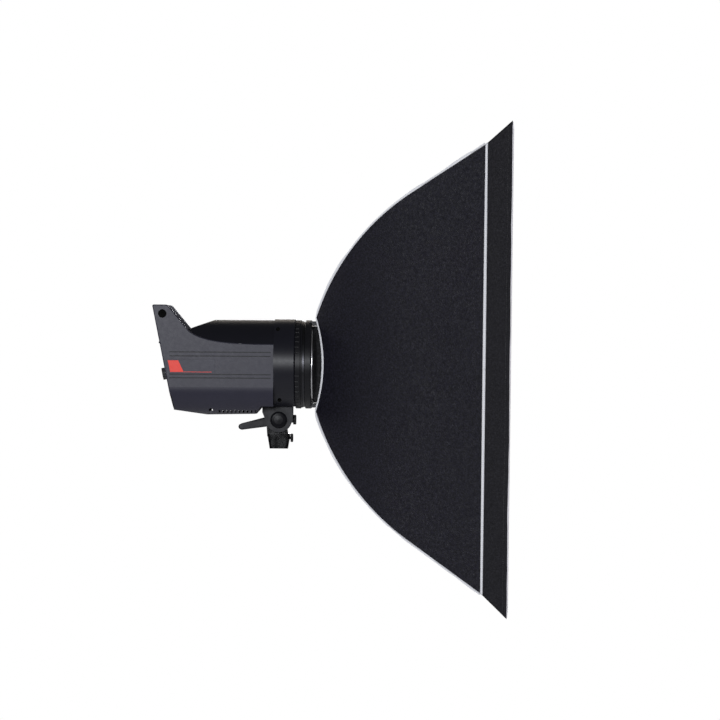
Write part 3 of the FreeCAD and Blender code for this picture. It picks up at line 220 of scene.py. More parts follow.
def swept(name, path, across, out, section, materials):
    """A closed bar along a path. section holds (across, out) pairs, the same or one set a point."""
    section = np.broadcast_to(section, (len(path),) + np.asarray(section).shape[-2:])
    count = section.shape[1]
    verts = (
        path[:, None]
        + across[:, None] * section[:, :, :1]
        + out[:, None] * section[:, :, 1:]
    ).reshape(-1, 3)
    index = np.arange(len(path) * count).reshape(len(path), count)
    following = np.roll(index, -1, axis=1)
    faces = np.stack([index[:-1], following[:-1], following[1:], index[1:]], -1).reshape(-1, 4)
    tangent = path[1] - path[0]
    turn = np.cross(section[0, 1] - section[0, 0], section[0, 2] - section[0, 1])
    flip = (np.cross(across[0], out[0]) @ tangent) * turn < 0
    faces = faces[:, ::-1].tolist() if flip else faces.tolist()
    caps = [index[0].tolist(), index[-1][::-1].tolist()]
    faces += [c[::-1] for c in caps] if not flip else caps
    length = np.concatenate([[0], np.cumsum(np.linalg.norm(np.diff(path, axis=0), axis=1))])
    around = np.concatenate([[0], np.cumsum(np.linalg.norm(np.diff(section[0], axis=0), axis=1))])
    u, v = np.meshgrid(length, around, indexing="ij")
    return new_object(name, place(verts), faces, materials, uvs=np.stack([u, v], -1).reshape(-1, 2))


def unit(vectors):
    """Vectors scaled to a length of 1."""
    return vectors / np.linalg.norm(vectors, axis=-1, keepdims=True)


def stitches(name, path, out, material):
    """A row of sewn stitches: short rounded dashes along a path, standing a little proud of it."""
    pitch, length, width, rise = 4.2 * MM, 2.7 * MM, 0.55 * MM, 0.28 * MM
    along = np.concatenate([[0], np.cumsum(np.linalg.norm(np.diff(path, axis=0), axis=1))])
    verts, faces = [], []
    ring = [(-1, 0.0, 0.15), (-0.72, 1, 0.6), (0, 1, 1), (0.72, 1, 0.6), (1, 0, 0.15)]
    for start in np.arange(pitch, along[-1] - pitch, pitch):
        spot = np.array([np.interp(start, along, path[:, i]) for i in range(3)])
        ahead = np.array([np.interp(start + length, along, path[:, i]) for i in range(3)])
        up = unit(np.array([np.interp(start, along, out[:, i]) for i in range(3)]))
        forward = unit(ahead - spot)
        sideways = np.cross(forward, up)
        base = len(verts)
        for t, wide, high in ring:
            middle = spot + forward * (t * length / 2) + up * (rise * (high - 0.5))
            verts.append(middle - sideways * (wide * width / 2 + 0.03 * MM) - up * rise * 0.5)
            verts.append(middle)
            verts.append(middle + sideways * (wide * width / 2 + 0.03 * MM) - up * rise * 0.5)
        for i in range(len(ring) - 1):
            a, b = base + 3 * i, base + 3 * (i + 1)
            for j in range(3):
                faces.append((a + j, a + (j + 1) % 3, b + (j + 1) % 3, b + j))
        faces.append((base + 2, base + 1, base))
        last = base + 3 * (len(ring) - 1)
        faces.append((last, last + 1, last + 2))
    return new_object(name, place(np.array(verts)), faces, [material])


# Materials.


class Shader:
    """A material's node tree with one Principled shader, built a few nodes at a time."""

    def __init__(self, name, colour, roughness, metallic=0.0, **inputs):
        self.material = bpy.data.materials.new(name)
        self.material.use_nodes = True
        self.tree = self.material.node_tree
        self.shader = self.tree.nodes["Principled BSDF"]
        self.colour = colour
        self.roughness = roughness
        self.set("Base Color", (*colour, 1))
        self.set("Roughness", roughness)
        self.set("Metallic", metallic)
        for socket, number in inputs.items():
            self.set(socket.replace("_", " "), number)
        self.coordinates = None
        self.normal = None

    def set(self, socket, number):
        self.shader.inputs[socket].default_value = number

    def node(self, kind, **settings):
        made = self.tree.nodes.new(kind)
        for key, setting in settings.items():
            setattr(made, key, setting)
        return made

    def link(self, start, end):
        self.tree.links.new(start, end)

    def where(self, uv=False, scale=(1, 1, 1)):
        """Coordinates in metres: the object's, or those along a sheet's own length and width."""
        source = self.node("ShaderNodeTexCoord").outputs["UV" if uv else "Object"]
        mapping = self.node("ShaderNodeMapping")
        mapping.inputs["Scale"].default_value = scale
        self.link(source, mapping.inputs["Vector"])
        return mapping.outputs["Vector"]

    def noise(self, scale, detail=3.0, roughness=0.5, where=None):
        made = self.node("ShaderNodeTexNoise")
        made.inputs["Scale"].default_value = scale
        made.inputs["Detail"].default_value = detail
        made.inputs["Roughness"].default_value = roughness
        self.link(where or self.where(), made.inputs["Vector"])
        return made.outputs["Fac"]

    def cells(self, scale):
        made = self.node("ShaderNodeTexVoronoi")
        made.inputs["Scale"].default_value = scale
        self.link(self.where(), made.inputs["Vector"])
        return made.outputs["Distance"]

    def wave(self, scale, where, direction):
        made = self.node("ShaderNodeTexWave", bands_direction=direction)
        made.inputs["Scale"].default_value = scale
        self.link(where, made.inputs["Vector"])
        return made.outputs["Fac"]

    def product(self, first, second):
        made = self.node("ShaderNodeMath", operation="MULTIPLY")
        self.link(first, made.inputs[0])
        self.link(second, made.inputs[1])
        return made.outputs[0]

    def ramp(self, factor, low, high, values):
        """Maps a factor between two stops to numbers or colours."""
        made = self.node("ShaderNodeValToRGB")
        for element, position, value in zip(made.color_ramp.elements, (low, high), values):
            element.position = position
            element.color = (*value, 1) if hasattr(value, "__len__") else (value, value, value, 1)
        self.link(factor, made.inputs["Fac"])
        return made.outputs["Color"]

    def tint(self, factor, low, high, dark, light):
        """Varies the base colour about its own value."""
        dim = [c * dark for c in self.colour]
        bright = [min(c * light, 1) for c in self.colour]
        self.link(self.ramp(factor, low, high, (dim, bright)), self.shader.inputs["Base Color"])

    def rough(self, factor, low, high, spread):
        """Varies the roughness about its own value."""
        values = (self.roughness - spread, self.roughness + spread)
        self.link(self.ramp(factor, low, high, values), self.shader.inputs["Roughness"])

    def bump(self, height, distance, strength=1.0):
        """Adds a relief on top of those already there."""
        made = self.node("ShaderNodeBump")
        made.inputs["Strength"].default_value = strength
        made.inputs["Distance"].default_value = distance
        self.link(height, made.inputs["Height"])
        if self.normal:
            self.link(self.normal, made.inputs["Normal"])
        self.normal = made.outputs["Normal"]
        self.link(self.normal, self.shader.inputs["Normal"])


def moulded(name, colour, roughness, grain=900, depth=0.03 * MM, **inputs):
    """Injection-moulded plastic with a fine spark-eroded grain and slight variation."""
    s = Shader(name, colour, roughness, **{"Specular_IOR_Level": 0.2, **inputs})
    s.tint(s.noise(14, 4), 0.3, 0.7, 0.94, 1.06)
    s.rough(s.noise(160, 5, 0.6), 0.35, 0.65, 0.02)
    s.bump(s.noise(grain, 2), depth)
    return s.material


def painted(name, colour, roughness, **inputs):
    """Powder-coated metal: an orange-peel skin over fine specks."""
    s = Shader(name, colour, roughness, **{"Specular_IOR_Level": 0.22, **inputs})
    s.tint(s.noise(420, 3), 0.35, 0.7, 0.8, 1.25)
    s.rough(s.noise(60, 4), 0.3, 0.7, 0.07)
    s.bump(s.noise(520, 3), 0.05 * MM)
    return s.material


def machined(name, colour, roughness, scale=(30, 900, 900)):
    """Turned or drawn metal, with fine lines that run one way."""
    s = Shader(name, colour, roughness, metallic=1.0)
    lines = s.noise(1, 4, 0.6, s.where(scale=scale))
    s.tint(lines, 0.3, 0.7, 0.85, 1.1)
    s.rough(lines, 0.3, 0.7, 0.08)
    s.bump(lines, 0.02 * MM)
    return s.material


def coated_nylon(name, colour, roughness, grain=560):
    """Black coated nylon: a pebble grain with lighter specks, over slow shallow waves."""
    s = Shader(name, colour, roughness, Specular_IOR_Level=0.18)
    pebble = s.cells(grain)
    speckle = s.noise(grain * 0.55, 3, 0.75)
    s.tint(speckle, 0.42, 0.66, 0.6, 2.2)
    s.rough(s.noise(grain * 0.3, 4, 0.7), 0.35, 0.65, 0.16)
    s.bump(pebble, 0.45 * MM, 0.9)
    s.bump(s.noise(34, 3), 0.5 * MM, 0.35)
    return s.material


def woven(name, colour, roughness=0.75, pitch=0.7 * MM):
    """A woven tape or cloth whose threads cross along the piece's own length and width."""
    s = Shader(name, colour, roughness, Sheen_Weight=0.2, Sheen_Roughness=0.5)
    where = s.where(uv=True)
    period = 2 * math.pi / (pitch * 20)
    weave = s.product(s.wave(period, where, "X"), s.wave(period, where, "Y"))
    s.tint(s.product(weave, s.noise(160, 3)), 0.0, 0.5, 0.82, 1.08)
    s.bump(weave, 0.12 * MM, 0.7)
    return s.material


def silver_lining():
    """The cover's reflective inside: metallised cloth with a fine crinkle."""
    s = Shader("silver_lining", (0.62, 0.62, 0.64), 0.38, metallic=0.7)
    s.rough(s.noise(300, 4), 0.3, 0.7, 0.1)
    s.bump(s.cells(420), 0.3 * MM, 0.8)
    s.bump(s.noise(60, 4), 0.6 * MM, 0.5)
    return s.material


def clear_glass(name, colour, roughness, alpha):
    """Thin glass that shows what is behind it."""
    s = Shader(name, colour, roughness, IOR=1.5, Alpha=alpha)
    s.rough(s.noise(90, 3), 0.3, 0.7, roughness / 2)
    return s.material


def diffusion_cloth():
    """White diffusion nylon with a fine ripstop grid."""
    s = Shader("diffusion_cloth", (0.86, 0.86, 0.86), 0.7, Sheen_Weight=0.1)
    where = s.where(uv=True)
    fine = s.product(s.wave(900, where, "X"), s.wave(900, where, "Y"))
    s.tint(s.noise(25, 3), 0.3, 0.7, 0.96, 1.02)
    s.bump(fine, 0.05 * MM, 0.6)
    return s.material


def make_materials():
    m = {}
    m["shell_plastic"] = moulded("shell_plastic", (0.029, 0.028, 0.043), 0.37, 1100, Specular_IOR_Level=0.2)
    m["dark_plastic"] = moulded("dark_plastic", (0.008, 0.008, 0.012), 0.42, 1100)
    collar_colour = (0.009, 0.009, 0.014)
    m["collar_plastic"] = moulded("collar_plastic", collar_colour, 0.36, 1100, Specular_IOR_Level=0.26)
    m["panel_plastic"] = moulded("panel_plastic", (0.017, 0.0175, 0.02), 0.5, 700, 0.05 * MM)
    m["lock_plastic"] = moulded("lock_plastic", (0.007, 0.007, 0.009), 0.36, 900)
    m["cap_plastic"] = moulded("cap_plastic", (0.006, 0.006, 0.008), 0.30, 900, Specular_IOR_Level=0.1)
    m["knob_plastic"] = moulded("knob_plastic", (0.010, 0.010, 0.011), 0.45, 700)
    m["dial_plastic"] = moulded("dial_plastic", (0.04, 0.04, 0.043), 0.42, 900)
    m["switch_plastic"] = moulded("switch_plastic", (0.25, 0.012, 0.010), 0.3, 900)
    m["inlet_plastic"] = moulded("inlet_plastic", (0.008, 0.008, 0.008), 0.5, 700)
    m["fan_plastic"] = moulded("fan_plastic", (0.012, 0.012, 0.012), 0.5, 700)
    m["button_rubber"] = moulded("button_rubber", (0.09, 0.09, 0.095), 0.7, 500)
    m["handle_rubber"] = moulded("handle_rubber", (0.014, 0.014, 0.016), 0.62, 420, 0.12 * MM)
    m["label_film"] = moulded("label_film", (0.040, 0.040, 0.056), 0.40, 300, 0.01 * MM)
    m["display_glass"] = moulded("display_glass", (0.006, 0.008, 0.010), 0.12, 120, 0.005 * MM)
    m["washer_fibre"] = moulded("washer_fibre", (0.16, 0.11, 0.06), 0.75, 300)
    m["lamp_ceramic"] = moulded("lamp_ceramic", (0.72, 0.69, 0.62), 0.5, 300)
    m["board_laminate"] = moulded("board_laminate", (0.02, 0.13, 0.05), 0.4, 200)
    m["socket_casting"] = painted("socket_casting", (0.004, 0.004, 0.0045), 0.16, Specular_IOR_Level=0.16)
    m["bracket_paint"] = painted("bracket_paint", (0.020, 0.020, 0.023), 0.5)
    m["lever_paint"] = painted("lever_paint", (0.015, 0.015, 0.018), 0.45)
    m["ring_paint"] = painted("ring_paint", (0.007, 0.007, 0.009), 0.36)
    m["holder_paint"] = painted("holder_paint", (0.015, 0.015, 0.016), 0.42)
    m["black_screws"] = painted("black_screws", (0.002, 0.002, 0.002), 0.5, Specular_IOR_Level=0.02)
    m["steel"] = machined("steel", (0.55, 0.55, 0.56), 0.3)
    m["rod_steel"] = machined("rod_steel", (0.32, 0.32, 0.33), 0.3, (900, 900, 40))
    m["bright_metal"] = machined("bright_metal", (0.70, 0.70, 0.72), 0.34)
    m["adapter_metal"] = machined("adapter_metal", (0.045, 0.045, 0.05), 0.35)
    m["reflector_metal"] = machined("reflector_metal", (0.78, 0.78, 0.79), 0.22)
    m["zinc_plate"] = machined("zinc_plate", (0.5, 0.51, 0.5), 0.4)
    m["can_metal"] = machined("can_metal", (0.25, 0.27, 0.36), 0.35)
    m["tube_glass"] = clear_glass("tube_glass", (0.9, 0.9, 0.86), 0.08, 0.55)
    m["lamp_glass"] = clear_glass("lamp_glass", (0.95, 0.92, 0.85), 0.2, 0.8)
    m["dome_glass"] = clear_glass("dome_glass", (0.92, 0.94, 0.94), 0.25, 0.45)
    m["cover_cloth"] = coated_nylon("cover_cloth", (0.0062, 0.0058, 0.0105), 0.55)
    m["lip_cloth"] = coated_nylon("lip_cloth", (0.0086, 0.0082, 0.0108), 0.6, 800)
    m["skirt_cloth"] = coated_nylon("skirt_cloth", (0.009, 0.009, 0.010), 0.7, 800)
    m["binding_tape"] = woven("binding_tape", (0.93, 0.93, 0.98))
    m["stitch_thread"] = woven("stitch_thread", (0.36, 0.36, 0.40), 0.6, 0.3 * MM)
    m["dark_thread"] = woven("dark_thread", (0.02, 0.02, 0.021), 0.6, 0.3 * MM)
    m["diffuser_cloth"] = diffusion_cloth()
    m["white_hem"] = woven("white_hem", (0.93, 0.91, 0.96), 0.8)
    m["elastic"] = woven("elastic", (0.75, 0.75, 0.75), 0.8)
    m["silver_lining"] = silver_lining()
    m["label_red"] = moulded("label_red", (0.90, 0.055, 0.035), 0.40, 300, 0.01 * MM)
    return m


MATERIALS = make_materials()


def dress_nodes():
    """Gives each node of the frame the material of its slot in the record."""
    slots = {row["node"]: row["material_slot"] for row in frame["record"]["subparts"]}
    for name, thing in NODES.items():
        thing.data.materials.clear()
        thing.data.materials.append(MATERIALS[slots[name]])


# The cover.


def soft(piece, nodes=()):
    """Bakes a piece of the cloth box's placement into its mesh, and hides the nodes that it stands in for.
    """
    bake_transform(piece)
    if nodes:
        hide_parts(*nodes)
    return piece


def mouth_reach(z):
    """Where a side panel's scooped back edge is at a height from the axis."""
    return SCOOP * (1 - np.minimum(np.abs(z) / BASE_HALF, 1) ** 2)


def pucker(along, from_seam, seed):
    """Small gathers that a sewn seam pulls into the cloth beside it."""
    spots = np.stack([along, np.zeros_like(along), np.full_like(along, seed)], -1)
    wander = smooth_noise(spots, 45 * MM, seed)
    ripple = np.sin(2 * np.pi * along / (21 * MM) + 5 * wander)
    return 0.55 * MM * ripple * (0.4 + 0.6 * np.abs(wander)) * np.exp(-from_seam / (26 * MM))


def side_grid(side, half, rows=104, columns=84):
    """One half of a side panel: from its scooped back edge to the front seam, and out to the rods."""
    across = np.linspace(0, 1, columns)
    back = np.zeros(columns)
    for _ in range(20):
        back = mouth_reach(across * half_height(back))
    x = np.stack([reaches(b, SEAM_X, rows) for b in back], axis=1)
    height = half_height(x)
    z = across * height
    y = WIDTH_RATIO * height
    share = np.linspace(0, 1, rows)[:, None]
    hang = 5.0 * MM * (1 - across**2) * np.sin(np.pi * share**0.8) ** 0.8
    spots = np.stack([x, np.full_like(x, side), HALVES[half] * z], -1)
    clear = ease(z / (60 * MM)) * ease((height - z) / (30 * MM))
    swell = 1.6 * MM * smooth_noise(spots, 110 * MM, 3.1) * clear
    gather = pucker(x + z, height - z, 7.7 * side + 2.3 * HALVES[half]) * ease((height - z) / (3 * MM))
    front = pucker(z, SEAM_X - x, 1.7 * side) * ease((SEAM_X - x) / (4 * MM)) * ease(z / (60 * MM))
    y = y - hang + swell + gather + front
    return np.stack([x, side * y, HALVES[half] * z], -1)


def end_grid(half, rows=104, columns=72):
    """The top or bottom panel, between the two corner seams."""
    across = np.linspace(-1, 1, columns)
    x = np.repeat(reaches(0, SEAM_X, rows)[:, None], columns, axis=1)
    height = half_height(x)
    y = across * WIDTH_RATIO * height
    share = np.linspace(0, 1, rows)[:, None]
    edge = np.minimum(1 - across, 1 + across) * WIDTH_RATIO * height
    hang = 6.0 * MM * (1 - across**2) * np.sin(np.pi * share) ** 0.7
    spots = np.stack([x, y, np.full_like(x, HALVES[half])], -1)
    swell = 1.4 * MM * smooth_noise(spots, 90 * MM, 5.9) * ease(edge / (30 * MM))
    gather = pucker(x * 1.6, edge, 4.1 * HALVES[half]) * ease(edge / (3 * MM))
    drop = hang - swell - gather
    return np.stack([x + 0.55 * drop, y, HALVES[half] * (height - 0.83 * drop)], -1)


def make_cover():
    """The four panels of the cover. Each side panel is in two halves that meet on the axis."""
    panels = {}
    lined = [MATERIALS["cover_cloth"], MATERIALS["silver_lining"]]
    for half in HALVES:
        for side, sign in SIDES.items():
            grid = side_grid(sign, half)
            name = f"cover_{side}_{half}"
            piece = cloth(name + "_cloth", grid, lined, (0, sign, 0))
            soft(piece, [name])
            panels[name] = (piece, grid)
        grid = end_grid(half)
        name = f"cover_end_{half}"
        piece = cloth(name + "_cloth", grid, lined, (-0.5, 0, HALVES[half]))
        soft(piece, [name])
        panels[name] = (piece, grid)
    return panels


def around(x, half, count_side=90, count_end=40):
    """Points round one half of the box at a distance past its mouth: a side, the end, a side."""
    height = half_height(x)
    width = WIDTH_RATIO * height
    sign = HALVES[half]
    rise = np.linspace(0, 1, count_side)
    run = np.linspace(-1, 1, count_end)[1:-1]
    up = [(-width, sign * height * t) for t in rise]
    over = [(width * t, sign * height) for t in run]
    down = [(width, sign * height * t) for t in rise[::-1]]
    return np.array([(float(x), y, z) for y, z in up + over + down])


def loop_frames(x, half, step=1 * MM):
    """A loop at a distance past the mouth, with its forward and outward directions."""
    loop = around(x, half)
    forward = unit(around(x + step, half) - around(x - step, half))
    tangent = unit(np.gradient(loop, axis=0))
    out = unit(np.cross(tangent, forward))
    if out[10] @ np.array([0, -1, 0]) < 0:
        out = -out
    return loop, forward, out


def make_front_tape(half):
    """The grey tape over the front seam, with its two rows of stitches."""
    loop, forward, out = loop_frames(SEAM_X, half)
    width, rise = TAPE_HALF, 1.15 * MM
    section = [(-width, 0.1 * MM), (-0.9 * width, 0.75 * MM), (-0.45 * width, rise), (0, rise * 1.05)]
    section += [(0.45 * width, rise), (0.9 * width, 0.75 * MM), (width, 0.1 * MM), (0, -0.5 * MM)]
    piece = swept(f"front_tape_{half}_band", loop, forward, out, section, [MATERIALS["binding_tape"]])
    soft(piece, [f"front_tape_{half}"])
    rows = []
    for place_across in (-0.66, 0.66):
        path = loop + forward * (width * place_across) + out * (0.98 * MM)
        name = f"front_tape_{half}_stitches_{'back' if place_across < 0 else 'front'}"
        row = stitches(name, path, out, MATERIALS["stitch_thread"])
        rows.append(soft(row))
    return [piece] + rows


def corner_line(side, half):
    """A corner seam, with the outward directions of its end panel and of its side panel."""
    count = 260
    x = reaches(0.2 * MM, SEAM_X - 2 * MM, count)
    z = half_height(x)
    seam = np.stack([x, SIDES[side] * WIDTH_RATIO * z, HALVES[half] * z], -1)
    slope = np.gradient(z, x)
    up = unit(np.stack([-slope, np.zeros(count), np.full(count, HALVES[half])], -1))
    out = unit(np.stack([-WIDTH_RATIO * slope, np.full(count, SIDES[side]), np.zeros(count)], -1))
    return seam, up, out


def make_corner_tapes(half):
    """The binding that stands up along each corner seam, soft enough to lean, dip and flip over."""
    made = []
    for side in SIDES:
        seam, up, out = corner_line(side, half)
        share = np.linspace(0, 1, len(seam))
        seed = 3.3 * SIDES[side] + 1.9 * HALVES[half]
        spots = np.stack([share, share * 0, share * 0 + seed], -1)
        lean = 0.45 + 0.55 * smooth_noise(spots, 0.11, seed)
        for flip in (0.55, 0.78) if half == "lower" else (0.70, 0.93):
            lean = lean + 0.6 * np.tanh((share - flip) / 0.006) * np.exp(-np.abs(share - flip) / 0.06)
        tall = (3.6 + 1.6 * smooth_noise(spots, 0.07, seed + 9)) * MM * ease(share / 0.06 + 0.3)
        lean = np.clip(lean, -0.1, 1.35)[:, None]
        direction = unit(up * np.cos(lean) + out * np.sin(lean))
        tangent = unit(np.gradient(seam, axis=0))
        across = unit(np.cross(tangent, direction))
        shape = np.array([(-0.75, -0.1), (-0.85, 0.35), (-0.8, 0.8), (-0.35, 1), (0.35, 1), (0.8, 0.8)])
        shape = np.concatenate([shape, [(0.85, 0.35), (0.75, -0.1)]])
        wide = np.repeat(shape[None, :, 0] * 0.8 * MM, len(seam), 0)
        section = np.stack([wide, shape[None, :, 1] * tall[:, None]], -1)
        name = f"corner_tape_{side}_{half}"
        piece = swept(name, seam, across, direction, section, [MATERIALS["binding_tape"]])
        made.append(soft(piece))
    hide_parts(f"corner_tapes_{half}")
    return made


def make_rear_tape(half):
    """The tape that binds the cover's back edge, round the scooped sides and the end."""
    made = []
    for side, sign in SIDES.items():
        grid = side_grid(sign, half)
        edge, inwards = grid[0], unit(grid[2] - grid[0])
        out = grid_normals(grid)[0]
        out = out * np.sign(out[:, 1:2]) * sign
        made.append(edge_binding(f"rear_tape_{side}_{half}", edge, inwards, out))
    grid = end_grid(half)
    edge, inwards = grid[0], unit(grid[2] - grid[0])
    out = grid_normals(grid)[0]
    out = out * np.sign(out[:, 2:3]) * HALVES[half]
    made.append(edge_binding(f"rear_tape_end_{half}", edge, inwards, out))
    return [soft(piece) for piece in made]


def edge_binding(name, edge, inwards, out, width=4.4 * MM):
    """A tape folded over an edge of cloth."""
    proud, under = 0.55 * MM, CLOTH + 0.5 * MM
    section = [(-0.8 * MM, -CLOTH / 2), (-0.5 * MM, 0.2 * MM), (0.4 * MM, proud), (width - 0.5 * MM, proud)]
    section += [(width, 0.1 * MM), (width, -under + 0.3 * MM), (width - 0.5 * MM, -under)]
    section += [(0.4 * MM, -under), (-0.5 * MM, -under + 0.3 * MM)]
    return swept(name, edge, inwards, out, section, [MATERIALS["binding_tape"]])


def lip_grid(half, rows=20):
    """The flared lip in front of the seam, with a little slack along its front edge."""
    x = np.linspace(SEAM_X + 0.6 * TAPE_HALF, LIP_X, rows)
    grid = np.stack([around(reach, half) for reach in x])
    share = np.linspace(0, 1, rows)[:, None]
    waves = smooth_noise(grid, 95 * MM, 11.3) * 1.0 + smooth_noise(grid, 36 * MM, 4.4) * 0.35
    seam_side = ease(np.abs(grid[:, :, 2]) / (50 * MM))
    grid[:, :, 0] += 1.3 * MM * waves * share**2 * seam_side
    on_side = np.abs(grid[:, :, 1]) > 0.999 * WIDTH_RATIO * half_height(x)[:, None]
    outward = np.sign(grid[:, :, 1]) * on_side
    dent = (smooth_noise(grid, 120 * MM, 2.2) - 0.3) * 2.0 * MM * np.sin(np.pi * share) * seam_side
    grid[:, :, 1] += outward * dent
    return grid


def make_lip(half):
    """The lip, its turned-over front hem and the stitches that hold the hem."""
    grid = lip_grid(half)
    cloths = [MATERIALS["lip_cloth"], MATERIALS["white_hem"]]
    piece = cloth(f"lip_{half}_cloth", grid, cloths, (0, 0, HALVES[half]), 1.1 * MM)
    soft(piece, [f"lip_{half}"])
    out = grid_normals(grid)[-4]
    middle = len(out) // 2
    out = out * np.sign(out[middle] @ np.array([0, 0, HALVES[half]]))
    row = stitches(f"lip_{half}_hem_stitches", grid[-4] + out * 0.1 * MM, out, MATERIALS["dark_thread"])
    soft(row)
    return piece, grid, [row]


def diffuser_grid(half, rows=60, columns=40):
    """One half of the front diffuser, from the axis out to the lip's inside."""
    height = half_height(DIFFUSER_X) - 3.6 * MM
    width = WIDTH_RATIO * half_height(DIFFUSER_X) - 2.6 * MM
    z, y = np.meshgrid(np.linspace(0, height, rows), np.linspace(-width, width, columns), indexing="ij")
    spots = np.stack([z * 0, y, HALVES[half] * z], -1)
    held = np.minimum(1 - (y / width) ** 2, 1 - (z / height) ** 2)
    belly = 3.0 * MM * held**0.6
    drape = smooth_noise(spots, 130 * MM, 6.6) * 3.0 * MM * held**0.5 * ease(z / (60 * MM))
    return np.stack([DIFFUSER_X + 0.6 * MM + belly + drape, y, HALVES[half] * z], -1)


def make_front_diffuser(half):
    """The front diffuser and the white hem that grips the inside of the lip."""
    grid = diffuser_grid(half)
    piece = cloth(f"front_diffuser_{half}_cloth", grid, [MATERIALS["diffuser_cloth"]], (1, 0, 0), 0.7 * MM)
    soft(piece, [f"front_diffuser_{half}"])
    x = np.linspace(DIFFUSER_X - 2 * MM, LIP_X + HEM_PROUD, 14)
    rows = []
    for reach in x:
        loop = around(min(reach, LIP_X), half)
        inside = 1 - 2.6 * MM / np.abs(loop[:, 1]).max()
        loop[:, 1] *= inside
        loop[:, 2] *= 1 - 3.0 * MM / np.abs(loop[:, 2]).max()
        loop[:, 0] = reach
        rows.append(loop)
    hem_grid = np.stack(rows)
    tapes = [MATERIALS["white_hem"]]
    hem = cloth(f"front_diffuser_{half}_hem", hem_grid, tapes, (0, 0, HALVES[half]), 0.9 * MM)
    soft(hem)
    return piece, grid, [hem]


def baffle_grid(half, rows=40, columns=30):
    """One half of the inner diffuser, whose free edges draw in between its corner straps."""
    t = np.linspace(0, 1, rows)[:, None]
    w = np.linspace(-1, 1, columns)[None]
    height = BAFFLE_HALF * (1 - 0.035 * (1 - w**2)) + 0 * t
    z = t * height
    y = BAFFLE_WIDTH_HALF * w * (1 - 0.10 * (1 - t**2))
    x = BAFFLE_X + 2 * MM * np.sin(np.pi * t) * (1 - w**2)
    return np.stack([x + 0 * y, y, HALVES[half] * z], -1)


def make_inner_diffuser(half):
    """The inner diffuser on two elastic straps that hook to the rods."""
    grid = baffle_grid(half)
    piece = cloth(f"inner_diffuser_{half}_cloth", grid, [MATERIALS["diffuser_cloth"]], (1, 0, 0), 0.7 * MM)
    soft(piece, [f"inner_diffuser_{half}"])
    straps = []
    for side, sign in SIDES.items():
        corner = grid[-1, 0 if sign < 0 else -1]
        hook = np.array([BAFFLE_X - 1 * MM, sign * STRAP_HOOK_Y, HALVES[half] * STRAP_HOOK_Z])
        path = corner + (hook - corner) * np.linspace(-0.15, 1, 24)[:, None]
        along = unit((hook - corner)[None])[0]
        across = np.repeat(unit(np.cross(along, [1, 0, 0])[None]), 24, 0)
        out = np.repeat(np.array([[1.0, 0, 0]]), 24, 0)
        section = [(-5 * MM, -0.5 * MM), (5 * MM, -0.5 * MM), (5 * MM, 0.5 * MM), (-5 * MM, 0.5 * MM)]
        name = f"inner_diffuser_strap_{side}_{half}"
        strap = swept(name, path, across, out, section, [MATERIALS["elastic"]])
        straps.append(soft(strap))
    return piece, grid, straps


def mouth_outline(angle):
    """The cover's mouth seen along the axis: flat ends, and sides that bow out like a lens."""
    flat, overshoot = 75 * MM, 1.12
    bow_radius, lens_half = 404 * MM, 44 * MM
    outline = []
    for a in angle:
        z = np.clip(overshoot * flat * math.sin(a), -flat, flat)
        y = math.sqrt(bow_radius**2 - z**2) - (bow_radius - lens_half)
        share = min(1, abs(math.cos(a)) / 0.42) ** 0.8
        outline.append((math.copysign(y * share, math.cos(a)), z))
    return np.array(outline)


def skirt_grid():
    """The skirt from its round edge on the ring to the cover's mouth, with small gathers."""
    low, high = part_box("rear_skirt")
    count, rows, gathers = 220, 12, 26
    angle = np.linspace(0, 2 * math.pi, count)
    mouth = mouth_outline(angle)
    circle = np.stack([np.cos(angle), np.sin(angle)], -1) * ((high.z - low.z) / 2 - 1 * MM)
    grid = []
    for i in range(rows):
        t = i / (rows - 1)
        share = ease(t / 0.45)
        ring = circle * (1 - share) + mouth * share
        fold = 1 + 0.012 * np.sin(angle * gathers) * math.sin(math.pi * t)
        reach = low.x - MOUTH_X + (high.x - low.x) * ease(t) * 0.98 + 0.3 * MM
        grid.append(np.column_stack([np.full(count, reach), ring * fold[:, None]]))
    return np.stack(grid)


def make_skirt():
    """The dark skirt in the cover's mouth, gathered a little on its way from the ring to its edge."""
    grid = skirt_grid()
    piece = cloth("rear_skirt_cloth", grid, [MATERIALS["skirt_cloth"]], (-1, 0, 0), 0.8 * MM)
    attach(piece, "softbox_ring")
    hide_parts("rear_skirt")


def make_soft_box():
    """Every piece of cloth, with the tapes of each half."""
    panels = make_cover()
    for half in HALVES:
        front_tape = make_front_tape(half)
        corner_tapes = make_corner_tapes(half)
        rear_tape = make_rear_tape(half)
        for made in (make_lip(half), make_front_diffuser(half), make_inner_diffuser(half)):
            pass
    make_skirt()


# Details of the head.


def flat_plate(name, corners, out, thickness, material):
    """A thin plate with a bevelled rim, from corners in the row frame that turn round out."""
    corners = np.asarray(corners, float)
    out = np.asarray(out, float)
    centre = corners.mean(0)
    shrink = 1 - 0.15 * MM / np.linalg.norm(corners - centre, axis=1).min()
    top = centre + (corners - centre) * shrink + out * thickness
    count = len(corners)
    verts = np.concatenate([corners, top])
    faces = [tuple(range(count))[::-1], tuple(range(count, 2 * count))]
    faces += [(i, (i + 1) % count, count + (i + 1) % count, count + i) for i in range(count)]
    return new_object(name, verts, faces, [material], smooth=False)


def head_plate(name, corners, sign, thickness, material):
    """A thin plate on one side of the head. Its corners come in the right side's order."""
    corners = corners[::-1] if sign > 0 else corners
    piece = flat_plate(name, corners, (0, sign, 0), thickness, MATERIALS[material])
    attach(piece, "head")


